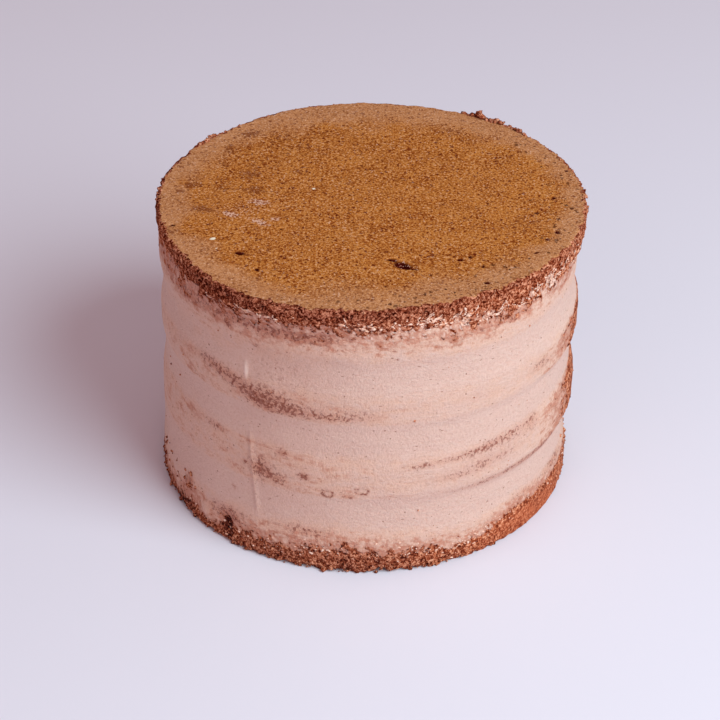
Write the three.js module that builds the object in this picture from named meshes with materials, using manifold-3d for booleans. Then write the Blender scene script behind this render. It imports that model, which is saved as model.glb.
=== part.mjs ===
// A tall layer cake: four chocolate sponges, three fillings of mocha buttercream between them, and a
// thin scraped coat of the same buttercream. The coat leaves the crumb bare along the top and the
// bottom edge, and on the right, where the two middle sponges swell out through it.
//
// Millimetres, +Z up, +X to the right, -Y to the front. The origin is under the middle of the cake,
// on the flat base it stands on. Angles are measured from +X, anticlockwise from above.
import * as THREE from "three";
import { mergeVertices } from "three/addons/utils/BufferGeometryUtils.js";
import Module from "manifold-3d";

const wasm = await Module();
wasm.setup();

// Driving dimensions. The cake was built in an 18 cm ring.
const RING_RADIUS = 90;
const SPONGE_HEIGHTS = { bottom: 19, lower: 22.5, upper: 15, top: 25 };
const FILLING_HEIGHTS = { lower: 17.5, middle: 14, upper: 15 };

// Thickness of the coat over a filling, and over a sponge.
const FILLING_FILM = 1.8;
const SPONGE_FILM = 0.85;
// How far a middle sponge stands out through the coat where it is bare, and where that is.
const BARE_PROUD = 0.15;
const BARE_FACING = 8;
const BARE_HALF_WIDTH = 70;

// Neighbouring solids stay this far apart, so that no two of them overlap.
const GAP = 0.3;
// The coat's blank reaches this far inside the ring before the layers are cut out of it.
const COAT_BLANK_DEPTH = 8;
// Where the coat ends, its edge dives this deep under the crumb, over this height.
const EDGE_DIVE = 2;
const EDGE_RISE = 2.5;

const SEGMENTS = 60;
const ANGLES = Array.from({ length: SEGMENTS }, (_, i) => (i * 2 * Math.PI) / SEGMENTS);

const CREAM = new THREE.MeshStandardMaterial({ color: 0xd9b0a0, roughness: 0.6, metalness: 0 });
const CRUMB = new THREE.MeshStandardMaterial({ color: 0x8a4e33, roughness: 0.95, metalness: 0 });
const CRUST = new THREE.MeshStandardMaterial({ color: 0xa66c39, roughness: 0.9, metalness: 0 });

const { lerp, smoothstep, degToRad } = THREE.MathUtils;

// Heights of the boundaries between the layers, from the base up.
const BASE = 0;
const LOWER_FILLING = BASE + SPONGE_HEIGHTS.bottom;
const LOWER_SPONGE = LOWER_FILLING + FILLING_HEIGHTS.lower;
const MIDDLE_FILLING = LOWER_SPONGE + SPONGE_HEIGHTS.lower;
const UPPER_SPONGE = MIDDLE_FILLING + FILLING_HEIGHTS.middle;
const UPPER_FILLING = UPPER_SPONGE + SPONGE_HEIGHTS.upper;
const TOP_SPONGE = UPPER_FILLING + FILLING_HEIGHTS.upper;
const CAKE_TOP = TOP_SPONGE + SPONGE_HEIGHTS.top;

// A sum of cosine waves around the cake, each [amplitude, count, phase in degrees]. A count of one
// shifts an outline sideways, two makes it oval, and more give it lobes.
function waves(angle, terms) {
  return terms.reduce((sum, [amplitude, count, phase]) => {
    return sum + amplitude * Math.cos(count * (angle - degToRad(phase)));
  }, 0);
}

// The scraped outside of the cake, in bands that follow the layers: each is an inset from the ring
// and its waves, reached at its height from the band below over a step. The step out under a
// sponge is short, and the step back above a sponge is long and soft.
const SCRAPED_BANDS = [
  { at: BASE, step: 1, inset: 1.1, terms: [[0.6, 1, 180], [0.25, 3, 20]] },
  { at: LOWER_FILLING + 3, step: 6, inset: 2.0, terms: [[0.7, 1, 180], [0.2, 2, 90]] },
  { at: LOWER_SPONGE + 1, step: 1.2, inset: 0.9, terms: [[0.75, 1, 0], [0.13, 2, 0], [0.2, 3, 40]] },
  { at: MIDDLE_FILLING + 1, step: 10, inset: 2.2, terms: [[0.55, 1, 0], [0.33, 2, 90]] },
  { at: UPPER_SPONGE + 1, step: 1.2, inset: 1.0, terms: [[0.65, 1, 0], [0.07, 2, 0], [0.2, 3, 10]] },
  { at: UPPER_FILLING + 6, step: 8, inset: 2.3, terms: [[0.8, 1, 0], [0.45, 2, 90]] },
  { at: TOP_SPONGE + 2, step: 4, inset: 1.3, terms: [[0.35, 1, 0], [0.35, 2, 90]] },
];

function scrapedRadius(angle, height) {
  let radius = 0;
  for (const { at, step, inset, terms } of SCRAPED_BANDS) {
    const reached = at === BASE ? 1 : smoothstep(height, at - step, at);
    radius = lerp(radius, RING_RADIUS - inset + waves(angle, terms), reached);
  }
  return radius;
}

// The bare rim of the top sponge, lobed as it came out of the ring.
const RIM_WAVES = [[0.9, 1, 0], [1.35, 2, 47], [0.95, 3, 9], [0.32, 4, -24], [0.37, 5, 28], [0.3, 6, -5]];

function rimRadius(angle) {
  return RING_RADIUS + waves(angle, RIM_WAVES);
}

// How bare the cake is at an angle: 1 where the scraper took all the coat off, falling to 0.
function bareness(angle) {
  const turn = angle - degToRad(BARE_FACING);
  const away = Math.abs(Math.atan2(Math.sin(turn), Math.cos(turn)));
  return 1 - smoothstep(away, 0, degToRad(BARE_HALF_WIDTH));
}

function fillingRadius(angle, height) {
  return scrapedRadius(angle, height) - FILLING_FILM;
}

function middleSpongeRadius(angle, height) {
  return scrapedRadius(angle, height) - lerp(SPONGE_FILM, -BARE_PROUD, bareness(angle));
}

// Bare and crumbly at the foot, and under the coat from half its height.
function bottomSpongeRadius(angle, height) {
  const covered = smoothstep(height, BASE + 8, LOWER_FILLING - 3);
  const ragged = waves(angle, [[0.3, 7, 10], [0.25, 11, 40]]);
  return scrapedRadius(angle, height) + lerp(0.8 + ragged, -SPONGE_FILM, covered);
}

// Under the coat in its lower half, and swelling out to the bare rim above it.
function topSpongeRadius(angle, height) {
  const bare = smoothstep(height, TOP_SPONGE + 8, TOP_SPONGE + 14);
  return lerp(scrapedRadius(angle, height) - SPONGE_FILM, rimRadius(angle), bare);
}

// The layers from the base up. Each side is a list of [height, inset from the radius there], from
// the underside to the upper face: an upper edge is rounder than a lower one.
const LAYERS = [
  {
    name: "sponge_bottom",
    material: CRUMB,
    radiusAt: bottomSpongeRadius,
    side: [[BASE, 1], [BASE + 2, 0], [BASE + 9, 0], [BASE + 14, 0], [LOWER_FILLING, 0.4]],
  },
  {
    name: "filling_lower",
    material: CREAM,
    radiusAt: fillingRadius,
    side: [[LOWER_FILLING, 0], [LOWER_SPONGE, 0]],
  },
  {
    name: "sponge_lower",
    material: CRUMB,
    radiusAt: middleSpongeRadius,
    side: [
      [LOWER_SPONGE, 0.2],
      [LOWER_SPONGE + 1.5, 0],
      [MIDDLE_FILLING - 8, 0],
      [MIDDLE_FILLING - 3, 0],
      [MIDDLE_FILLING, 1],
    ],
  },
  {
    name: "filling_middle",
    material: CREAM,
    radiusAt: fillingRadius,
    side: [[MIDDLE_FILLING, 0.3], [UPPER_SPONGE, 0]],
  },
  {
    name: "sponge_upper",
    material: CRUMB,
    radiusAt: middleSpongeRadius,
    side: [[UPPER_SPONGE, 0.2], [UPPER_SPONGE + 1.5, 0], [UPPER_FILLING - 3, 0], [UPPER_FILLING, 0.9]],
  },
  {
    name: "filling_upper",
    material: CREAM,
    radiusAt: fillingRadius,
    side: [[UPPER_FILLING, 0.3], [TOP_SPONGE, 0]],
  },
  {
    name: "sponge_top",
    material: CRUST,
    radiusAt: topSpongeRadius,
    side: [
      [TOP_SPONGE, 0],
      [TOP_SPONGE + 8, 0],
      [TOP_SPONGE + 11, 0],
      [TOP_SPONGE + 14, 0],
      [CAKE_TOP - 3.2, 0],
      [CAKE_TOP - 1.3, 0.6],
      [CAKE_TOP - 0.5, 2],
      [CAKE_TOP - 0.15, 5],
      [CAKE_TOP, 16],
    ],
  },
];

function ringOfPoints(radiusAt, heightAt) {
  return ANGLES.map((angle) => {
    const radius = radiusAt(angle);
    return new THREE.Vector3(radius * Math.cos(angle), radius * Math.sin(angle), heightAt(angle));
  });
}

// Joins rings of points with a skin of triangles that faces outwards where the rings go up.
// With caps, a centre point closes the first and the last ring. Without, the last ring joins the
// first one, which makes a ring-shaped solid.
function skinRings(rings, capped) {
  const positions = rings.flat().flatMap((point) => point.toArray());
  const indices = [];
  const spans = capped ? rings.length - 1 : rings.length;
  for (let row = 0; row < spans; row += 1) {
    const lower = row * SEGMENTS;
    const upper = ((row + 1) % rings.length) * SEGMENTS;
    for (let i = 0; i < SEGMENTS; i += 1) {
      const next = (i + 1) % SEGMENTS;
      indices.push(lower + i, lower + next, upper + next);
      indices.push(lower + i, upper + next, upper + i);
    }
  }
  if (capped) {
    const underCentre = positions.length / 3;
    const topCentre = underCentre + 1;
    const topRing = (rings.length - 1) * SEGMENTS;
    positions.push(0, 0, rings[0][0].z);
    positions.push(0, 0, rings.at(-1)[0].z);
    for (let i = 0; i < SEGMENTS; i += 1) {
      const next = (i + 1) % SEGMENTS;
      indices.push(underCentre, next, i);
      indices.push(topCentre, topRing + i, topRing + next);
    }
  }
  const geometry = new THREE.BufferGeometry();
  geometry.setAttribute("position", new THREE.Float32BufferAttribute(positions, 3));
  geometry.setIndex(indices);
  return geometry;
}

// One layer as a closed solid that leaves half a gap to the layers below and above it. With growth
// it is the space the layer takes up in the coat: wider all round, and taller by the same amount.
function layerGeometry({ radiusAt, side }, growth) {
  const underside = side[0][0];
  const upperFace = side.at(-1)[0];
  const setBack = (height) => {
    if (height === underside && height !== BASE) return height + GAP / 2 - growth;
    if (height === upperFace && height !== CAKE_TOP) return height - GAP / 2 + growth;
    return height;
  };
  const rings = side.map(([height, inset]) =>
    ringOfPoints(
      (angle) => radiusAt(angle, height) - inset + growth,
      () => setBack(height),
    ),
  );
  return skinRings(rings, true);
}

// The coat's edges wander, where the scraper ran out of cream.
function coatBottomEdge(angle) {
  return BASE + 12 + waves(angle, [[1.6, 2, 30], [1.3, 5, -20], [0.9, 9, 11]]);
}

function coatTopEdge(angle) {
  return TOP_SPONGE + 12 + waves(angle, [[0.8, 2, 60], [1.0, 6, 15], [0.6, 10, 4]]);
}

// Heights at which the coat's outside has a ring of points: closest together at the steps.
const COAT_HEIGHTS = [
  LOWER_FILLING + 1,
  LOWER_FILLING + 9,
  LOWER_SPONGE - 0.3,
  LOWER_SPONGE + 1.2,
  LOWER_SPONGE + 8,
  MIDDLE_FILLING - 9,
  MIDDLE_FILLING - 4,
  MIDDLE_FILLING + 1,
  UPPER_SPONGE - 0.3,
  UPPER_SPONGE + 1.2,
  UPPER_FILLING - 3,
  UPPER_FILLING + 2,
  UPPER_FILLING + 6,
  TOP_SPONGE - 2,
  TOP_SPONGE + 2,
];

function coatBlankGeometry() {
  const divedRadius = (edge) => (angle) => scrapedRadius(angle, edge(angle)) - EDGE_DIVE;
  const fullBottom = (angle) => coatBottomEdge(angle) + EDGE_RISE;
  const fullTop = (angle) => coatTopEdge(angle) - EDGE_RISE;
  const innerRadius = () => RING_RADIUS - COAT_BLANK_DEPTH;
  return skinRings(
    [
      ringOfPoints(divedRadius(coatBottomEdge), coatBottomEdge),
      ringOfPoints((angle) => scrapedRadius(angle, fullBottom(angle)), fullBottom),
      ...COAT_HEIGHTS.map((height) => ringOfPoints((angle) => scrapedRadius(angle, height), () => height)),
      ringOfPoints((angle) => scrapedRadius(angle, fullTop(angle)), fullTop),
      ringOfPoints(divedRadius(coatTopEdge), coatTopEdge),
      ringOfPoints(innerRadius, coatTopEdge),
      ringOfPoints(innerRadius, coatBottomEdge),
    ],
    false,
  );
}

function toSolid(geometry) {
  const merged = mergeVertices(geometry, 1e-4);
  return new wasm.Manifold(
    new wasm.Mesh({
      numProp: 3,
      vertProperties: merged.attributes.position.array,
      triVerts: new Uint32Array(merged.index.array),
    }),
  );
}

function toGeometry(solid) {
  const { vertProperties, triVerts } = solid.getMesh();
  const geometry = new THREE.BufferGeometry();
  geometry.setAttribute("position", new THREE.BufferAttribute(vertProperties, 3));
  geometry.setIndex(new THREE.BufferAttribute(triVerts, 1));
  return geometry;
}

// The coat is its blank with the space of every layer cut out. Flakes that the cut leaves loose
// around the bare crumb are dropped, and the one big ring stays.
function coatGeometry() {
  const spaces = LAYERS.map((layer) => toSolid(layerGeometry(layer, GAP)));
  const core = spaces.reduce((all, space) => all.add(space));
  const pieces = toSolid(coatBlankGeometry()).subtract(core).decompose();
  pieces.sort((a, b) => b.volume() - a.volume());
  return toGeometry(pieces[0]);
}

function namedMesh(name, geometry, material) {
  const mesh = new THREE.Mesh(geometry, material);
  mesh.name = name;
  return mesh;
}

const stack = new THREE.Group();
for (const layer of LAYERS) {
  stack.add(namedMesh(layer.name, layerGeometry(layer, 0), layer.material));
}
stack.add(namedMesh("cream_coat", coatGeometry(), CREAM));

// The lobed outlines are not centred on the ring, so the stack is shifted until its box is.
const centre = new THREE.Box3().setFromObject(stack).getCenter(new THREE.Vector3());
stack.position.set(-centre.x, -centre.y, 0);

const cake = new THREE.Group();
cake.name = "layer_cake";
cake.add(stack);

export default cake;
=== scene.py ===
"""The looks of a tall, thinly coated layer cake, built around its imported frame.

Sizes are millimetres until a mesh is written, angles are radians measured from +X anticlockwise
from above, and heights are measured from the base. The pieces are grids worked out with numpy:
a disc squashed from a square for the top, and profiles carried round the cake for the sides.
"""

from __future__ import annotations

import functools
import logging
from dataclasses import dataclass, field
from enum import Enum
from typing import Any, Callable, Iterable, Sequence

import bpy
import numpy as np
from mathutils import Matrix, Vector
from numpy.typing import NDArray


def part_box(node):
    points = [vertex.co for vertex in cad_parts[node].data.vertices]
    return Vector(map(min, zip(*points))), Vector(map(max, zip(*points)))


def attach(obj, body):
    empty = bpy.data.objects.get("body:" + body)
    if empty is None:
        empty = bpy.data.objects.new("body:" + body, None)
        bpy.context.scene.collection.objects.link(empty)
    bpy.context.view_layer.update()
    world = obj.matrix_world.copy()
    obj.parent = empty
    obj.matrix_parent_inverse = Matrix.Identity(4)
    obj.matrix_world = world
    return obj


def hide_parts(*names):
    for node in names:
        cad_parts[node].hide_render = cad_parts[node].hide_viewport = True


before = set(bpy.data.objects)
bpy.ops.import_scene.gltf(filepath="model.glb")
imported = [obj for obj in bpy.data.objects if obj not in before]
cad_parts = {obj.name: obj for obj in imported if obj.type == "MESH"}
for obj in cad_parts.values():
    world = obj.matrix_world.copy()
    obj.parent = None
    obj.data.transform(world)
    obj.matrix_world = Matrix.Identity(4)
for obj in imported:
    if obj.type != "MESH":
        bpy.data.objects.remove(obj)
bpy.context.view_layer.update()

log = logging.getLogger("layer_cake")

Floats = NDArray[np.float64]
Ints = NDArray[np.int64]
Colour = tuple[float, float, float, float]

MM = 0.001
BODY = "root"
NOISE_GAIN = 2.6
OUTLINE_STEPS = 1440


# ---- Numbers ----


def smooth_step(value: Any, low: Any, high: Any) -> Any:
    """Rises from 0 at low to 1 at high along 3t^2 - 2t^3.

    Args:
        value: Numbers or an array.
        low: Where the rise starts.
        high: Where it ends.

    Returns:
        The weight, in the shape of value.
    """
    share = np.clip((value - low) / (high - low), 0.0, 1.0)
    return share * share * (3.0 - 2.0 * share)


def blend(first: Any, second: Any, weight: Any) -> Any:
    """Goes from first at weight 0 to second at weight 1 along a straight line."""
    return first + (second - first) * weight


def turned(angle: Floats, facing: float) -> Floats:
    """The signed turn in degrees from facing, in degrees, to each angle, in radians."""
    turn = angle - np.radians(facing)
    return np.degrees(np.arctan2(np.sin(turn), np.cos(turn)))


def bell(angle: Floats, facing: float, half_turn: float) -> Floats:
    """exp(-(turn / half_turn)^2), where turn is the angle's turn from facing."""
    return np.exp(-((turned(angle, facing) / half_turn) ** 2))


def each(kind: Callable[..., Any], *rows: Sequence[Any]) -> tuple[Any, ...]:
    """One thing of a kind for each row of its fields, in their order."""
    return tuple(kind(*row) for row in rows)


def srgb(red: int, green: int, blue: int) -> Colour:
    """A display colour of 0 to 255 a channel as the linear colour that shaders take."""
    channels = np.array([red, green, blue]) / 255.0
    linear = np.where(channels <= 0.04045, channels / 12.92, ((channels + 0.055) / 1.055) ** 2.4)
    return (float(linear[0]), float(linear[1]), float(linear[2]), 1.0)


class Noise:
    """Repeatable noise at points in space, worked out as whole arrays."""

    @staticmethod
    def random(cells: Ints, seed: int) -> Floats:
        """One random number from 0 to 1 for each lattice cell.

        Args:
            cells: Whole-number cell positions, three to a row.
            seed: Picks one of many unlike patterns.

        Returns:
            One number a row.
        """
        mask = 0xFFFFFFFF
        mixed = cells[..., 0] * 374761393 + cells[..., 1] * 668265263 + cells[..., 2] * 1440662683
        mixed = (mixed + seed * 362437) & mask
        mixed = ((mixed ^ (mixed >> 13)) * 1274126177) & mask
        mixed = ((mixed ^ (mixed >> 15)) * 1103515245) & mask
        return ((mixed ^ (mixed >> 16)) & 0xFFFFFF) / float(0x1000000)

    @classmethod
    def smooth(cls, points: Floats, size: float, seed: int) -> Floats:
        """Gradient noise: each lattice corner has a random slope, and the slopes are blended.

        Args:
            points: Points in millimetres, three to a row.
            size: Size of one lattice cell.
            seed: Picks the pattern.

        Returns:
            One number a point, mostly from -1 to 1.
        """
        scaled = points / size
        cells = np.floor(scaled).astype(np.int64)
        inside = scaled - cells
        fade = inside * inside * inside * (inside * (inside * 6.0 - 15.0) + 10.0)
        total = np.zeros(len(points))
        for corner in np.ndindex(2, 2, 2):
            step = np.array(corner)
            at = cells + step
            offset = inside - step
            slope = sum(
                (cls.random(at, seed + 17 * axis) * 2 - 1) * offset[:, axis] for axis in range(3)
            )
            share = np.prod(np.where(step == 1, fade, 1.0 - fade), axis=1)
            total += slope * share
        return total * 1.8

    @classmethod
    def fractal(cls, points: Floats, size: float, seed: int, octaves: int = 3) -> Floats:
        """Smooth noise summed over octaves, each half the size and half the height of the last."""
        total = np.zeros(len(points))
        for octave in range(octaves):
            total += cls.smooth(points, size / 2**octave, seed + 101 * octave) / 2**octave
        return total

    @classmethod
    def pits(cls, points: Floats, size: float, seed: int, share: float, radius: float) -> Floats:
        """Round pits, at most one to a lattice cell: each a bowl, 1 - (distance / radius)^2 deep.

        Args:
            points: Points in millimetres, three to a row.
            size: Size of one lattice cell.
            seed: Picks the pattern.
            share: Share of the cells that hold a pit.
            radius: Radius of the largest pits. The smallest have a third of it.

        Returns:
            The depth at each point, from 0 outside all pits to 1 at a pit's middle.
        """
        scaled = points / size
        cells = np.floor(scaled).astype(np.int64)
        depth = np.zeros(len(points))
        for neighbour in np.ndindex(3, 3, 3):
            at = cells + (np.array(neighbour) - 1)
            middle = at + np.stack([cls.random(at, seed + axis) for axis in range(3)], axis=1)
            own = radius * (0.35 + 0.65 * cls.random(at, seed + 5)) / size
            away = np.sum((scaled - middle) ** 2, axis=1) / own**2
            bowl = np.where(cls.random(at, seed + 7) < share, 1.0 - away, 0.0)
            depth = np.maximum(depth, bowl)
        return depth


@dataclass(frozen=True)
class Grain:
    """A layer of noise: its height and the size of its largest features in mm, and its seed.

    Each further octave halves both. The places are first squeezed by across sideways and by up
    along the height, so a number below 1 draws the pattern out that way.
    """

    height: float
    size: float
    seed: int
    octaves: int = 2
    across: float = 1.0
    up: float = 1.0

    def at(self, points: Floats) -> Floats:
        """The layer's height at each point."""
        squeezed = points * np.array([self.across, self.across, self.up])
        return self.height * Noise.fractal(squeezed, self.size, self.seed, self.octaves)


@dataclass(frozen=True)
class Pitting:
    """A layer of round pits, one at most in each cell of a size in mm.

    The share of the cells is given that hold a pit, and the radius of the largest pits.
    """

    depth: float
    size: float
    seed: int
    share: float
    radius: float

    def at(self, points: Floats) -> Floats:
        """The layer's depth at each point."""
        return self.depth * Noise.pits(points, self.size, self.seed, self.share, self.radius)


# ---- The cake's form ----


@dataclass(frozen=True)
class Stretch:
    """A stretch of the cake's round: a bell about its facing, in degrees, times its strength."""

    strength: float
    facing: float
    half_turn: float

    def at(self, angle: Floats) -> Floats:
        """The stretch's weight at each angle, in radians."""
        return self.strength * bell(angle, self.facing, self.half_turn)


@dataclass(frozen=True)
class Waves:
    """Cosine waves round the cake, each (height in mm, count, phase in degrees)."""

    terms: tuple[tuple[float, int, float], ...]

    def at(self, angle: Floats) -> Floats:
        """The sum of all the waves at each angle."""
        total = np.zeros_like(angle)
        for height, count, phase in self.terms:
            total = total + height * np.cos(count * (angle - np.radians(phase)))
        return total


@dataclass(frozen=True)
class Band:
    """A height band of the scraped outside: an inset from the ring, and its waves.

    It is fully reached at its height, over a step from the band below it, which can be softened.
    """

    at: float
    step: float
    inset: float
    waves: Waves
    soft: float = 0.0


@dataclass(frozen=True)
class Line:
    """A line all round the cake, by its heights in mm at given facings in degrees."""

    facings: tuple[float, ...]
    heights: tuple[float, ...]

    def at(self, angle: Floats) -> Floats:
        """The line's height at each angle, in radians, straight between the facings."""
        return np.interp(np.degrees(angle), self.facings, self.heights, period=360.0)


@dataclass(frozen=True)
class Patch:
    """A soft oval on the side of the cake. A hollow one is a ring instead of a filled spot."""

    facing: float
    height: float
    half_turn: float
    half_height: float
    strength: float = 1.0
    slope: float = 0.0
    hollow: bool = False

    def weight(self, angle: Floats, height: Floats) -> Floats:
        """How strong the patch is at each point: a bell, or for a hollow one a bell on its rim.

        Args:
            angle: Angles in radians.
            height: Heights in mm.

        Returns:
            From 0 to the patch's strength.
        """
        turn = turned(angle, self.facing)
        across = turn / self.half_turn
        up = (height - self.height - self.slope * turn) / self.half_height
        distance = np.sqrt(across**2 + up**2)
        if self.hollow:
            return self.strength * np.exp(-(((distance - 1.0) / 0.35) ** 2))
        return self.strength * np.exp(-(distance**2))


def laid(patches: Iterable[Patch], angle: Floats, height: Floats) -> Floats:
    """The weights of all the patches, added up at each point."""
    return sum(patch.weight(angle, height) for patch in patches)


def node_heights(node: str) -> tuple[float, float]:
    """The lowest and the highest point of a CAD node, in mm."""
    low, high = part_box(node)
    return low.z / MM, high.z / MM


def boundary(below: str, above: str) -> float:
    """The height midway between two CAD nodes, one of which lies on the other."""
    return (node_heights(below)[1] + node_heights(above)[0]) / 2


@dataclass
class CakeForm:
    """Where every surface of the cake is: the levels come from the CAD nodes."""

    ring_radius: float = 90.0
    filling_film: float = 1.8
    sponge_film: float = 0.9
    front_film: Stretch = Stretch(0.45, -62, 30)
    bare_film: float = -0.85
    bare_facing: float = 8.0
    bare_near: float = 8.0
    bare_far: float = 50.0
    foot_proud: float = 0.8
    crumb_proud: float = 0.6
    tilt_share: float = 0.22
    left_softness: float = 2.2
    step_below: float = 0.6
    step_above: float = 1.6
    wide_fade: Stretch = Stretch(0.5, -155, 35)
    narrow_fade: Stretch = Stretch(0.3, -40, 35)
    drawn_grain: tuple[Grain, ...] = each(
        Grain, (0.42, 6.0, 31, 2, 0.55, 1.3), (0.42, 2.0, 37, 2, 0.55, 1.3)
    )
    torn_grain: tuple[Grain, ...] = each(Grain, (0.22, 5.0, 32), (0.46, 2.1, 38))
    pressed_foot: Stretch = Stretch(1.0, -35, 21)
    light_top: Stretch = Stretch(0.4, -160, 12)
    light_foot: Stretch = Stretch(0.5, -139, 4)
    # Painted shade in the hollow low at the foot.
    crevice_shade: Stretch = Stretch(0.55, -152, 7)
    foot_tones: Grain = Grain(0.3, 9.0, 151)
    fine_tones: Grain = Grain(0.1, 4.0, 157, 1)
    top_fade_at: tuple[float, ...] = (-22, -14, -8, -4, -1, 2)
    top_fade: tuple[float, ...] = (1.8, 1.05, 0.58, 0.32, 0.06)
    foot_fade_at: tuple[float, ...] = (-3, 0, 3.5, 9, 16)
    foot_fade: tuple[float, ...] = (-0.1, 0.4, 0.9, 1.8)
    rim_waves: Waves = Waves(
        ((0.9, 1, 0), (1.35, 2, 47), (0.95, 3, 9), (0.32, 4, -24), (0.37, 5, 28), (0.3, 6, -5))
    )
    top_edge_line: Line = Line(
        (-170, -155, -145, -135, -125, -115, -105, -95, -85, -75, -65, -55, -45, -35, -20)
        + (0, 50, 90, 130),
        (18, 19, 17.6, 16.4, 16.4, 16.8, 16.6, 17.8, 16, 16.8, 14.6, 12.7, 12, 13.8, 13.8)
        + (13.5, 12.8, 14, 12),
    )
    foot_edge_line: Line = Line(
        (-168, -155, -147, -140, -134, -125, -115, -105, -95, -87, -75, -65, -55, -45, -25, -8)
        + (35, 70, 100, 130, 160),
        (2.6, 2.5, 5, 5, 3, 7.6, 7.6, 9, 11, 8.8, 9.6, 7.8, 10, 13.4, 12, 13)
        + (9, 11, 8, 10, 7),
    )
    # Dents and lumps in the bottom sponge. The sponge's finish also darkens the dents and lightens
    # the lumps, as painted shade and light.
    dents: tuple[Patch, ...] = each(
        Patch,
        (-130.5, 8.0, 1.9, 4.5, 2.4), (-138.5, 8.5, 2.2, 4.0, -1.0), (-148.0, 14.0, 1.5, 2.5, -0.8),
    )
    smears: tuple[Patch, ...] = each(
        Patch,
        (-35.0, 120.5, 1.6, 3.2, 0.75, 0.6), (-31.5, 122.5, 1.0, 2.6, 0.7, 0.5),
        (-27.0, 118.0, 4.0, 1.0, 0.6), (-41.0, 117.6, 4.5, 0.9, 0.6), (-50.0, 117.2, 4.0, 0.8, 0.5),
        (-58.0, 117.4, 4.0, 0.9, 0.6), (-66.8, 119.8, 0.9, 2.6, 0.6, 0.8),
        (-70.0, 116.8, 4.0, 0.8, 0.6), (-45.0, 119.4, 9.0, 1.6, 0.28),
        (-62.0, 118.8, 6.0, 1.2, 0.35), (-30.0, 120.5, 8.0, 2.6, 0.3),
        (-79.0, 117.4, 3.5, 0.8, 0.55), (-88.0, 116.4, 3.5, 0.7, 0.45),
        (-119.0, 120.0, 4.5, 2.2, 0.55, -0.15), (-19.0, 120.0, 3.0, 1.6, 0.5, 0.3),
        (-8.0, 118.5, 5.0, 1.2, 0.5), (70.0, 118.0, 6.0, 1.6, 0.5), (140.0, 119.0, 5.0, 1.8, 0.5),
        (-57.0, 9.0, 5.0, 2.0, 0.7, 0.25), (-66.0, 8.5, 3.5, 2.0, 0.5, 0.25),
        (-139.0, 8.5, 2.4, 3.6, 0.7), (-130.5, 7.5, 1.9, 4.5, -1.3), (-147.5, 13.5, 2.2, 3.5, -0.9),
        (-109.0, 8.0, 2.6, 2.0, 0.4), (-99.5, 7.5, 1.8, 1.2, 0.35), (-76.0, 7.0, 2.5, 1.6, 0.4),
        (-24.0, 10.0, 7.0, 3.0, -0.5),
    )
    base: float = field(init=False)
    lower_filling: float = field(init=False)
    lower_sponge: float = field(init=False)
    middle_filling: float = field(init=False)
    upper_sponge: float = field(init=False)
    upper_filling: float = field(init=False)
    top_sponge: float = field(init=False)
    cake_top: float = field(init=False)
    axis: tuple[float, float] = field(init=False)
    bands: tuple[Band, ...] = field(init=False)

    def __post_init__(self) -> None:
        """Reads the levels and the stack's axis from the frame, and lays out the bands."""
        self.base = node_heights("sponge_bottom")[0]
        self.lower_filling = boundary("sponge_bottom", "filling_lower")
        self.lower_sponge = boundary("filling_lower", "sponge_lower")
        self.middle_filling = boundary("sponge_lower", "filling_middle")
        self.upper_sponge = boundary("filling_middle", "sponge_upper")
        self.upper_filling = boundary("sponge_upper", "filling_upper")
        self.top_sponge = boundary("filling_upper", "sponge_top")
        self.cake_top = node_heights("sponge_top")[1]
        self.axis = self._stack_axis()
        self.bands = (
            Band(self.base, 1, 1.1, Waves(((0.6, 1, 180), (0.25, 3, 20)))),
            Band(self.lower_filling + 3, 6, 2.0, Waves(((0.7, 1, 180), (0.2, 2, 90)))),
            Band(
                self.lower_sponge + 1, 1.2, 0.9,
                Waves(((0.75, 1, 0), (0.13, 2, 0), (0.2, 3, 40))), 4.0,
            ),
            Band(self.middle_filling + 1, 10, 2.2, Waves(((0.55, 1, 0), (0.33, 2, 90)))),
            Band(
                self.upper_sponge + 1, 1.2, 1.0,
                Waves(((0.65, 1, 0), (0.07, 2, 0), (0.2, 3, 10))), 2.4,
            ),
            Band(self.upper_filling + 6, 8, 2.3, Waves(((0.8, 1, 0), (0.45, 2, 90)))),
            Band(self.top_sponge + 2, 4, 1.3, Waves(((0.35, 1, 0), (0.35, 2, 90)))),
        )

    def _stack_axis(self) -> tuple[float, float]:
        """The ring's middle: the top sponge's box, less the offset of its lobed outline's box."""
        angle = np.linspace(0, 2 * np.pi, OUTLINE_STEPS, endpoint=False)
        radius = self.rim(angle)
        x = radius * np.cos(angle)
        y = radius * np.sin(angle)
        low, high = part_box("sponge_top")
        middle_x = (low.x + high.x) / 2 / MM
        middle_y = (low.y + high.y) / 2 / MM
        return middle_x - (x.min() + x.max()) / 2, middle_y - (y.min() + y.max()) / 2

    def rim(self, angle: Floats) -> Floats:
        """Radius of the top sponge's bare rim: the ring's circle plus its lobes."""
        return self.ring_radius + self.rim_waves.at(angle)

    def rim_tilt(self, angle: Floats) -> Floats:
        """How much the top's edge rises or dips: lobes that hang at the front lie low."""
        return self.tilt_share * self.rim_waves.at(angle) * np.sin(angle)

    def scraped(self, angle: Floats, height: Floats) -> Floats:
        """Radius of the scraped outside: each band's circle plus waves, stepped into the next.

        The steps are as sharp as the band says at the right, and soft at the left, where the
        scraper left more cream in them.

        Args:
            angle: Angles in radians.
            height: Heights in mm.

        Returns:
            Radii in mm.
        """
        radius = self.ring_radius - self.bands[0].inset + self.bands[0].waves.at(angle)
        for band in self.bands[1:]:
            own = self.ring_radius - band.inset + band.waves.at(angle)
            softness = band.soft + self.left_softness * (1 - np.cos(angle))
            rise = smooth_step(height, band.at - band.step - softness, band.at + 0.5 * softness)
            radius = blend(radius, own, rise)
        return radius

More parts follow.
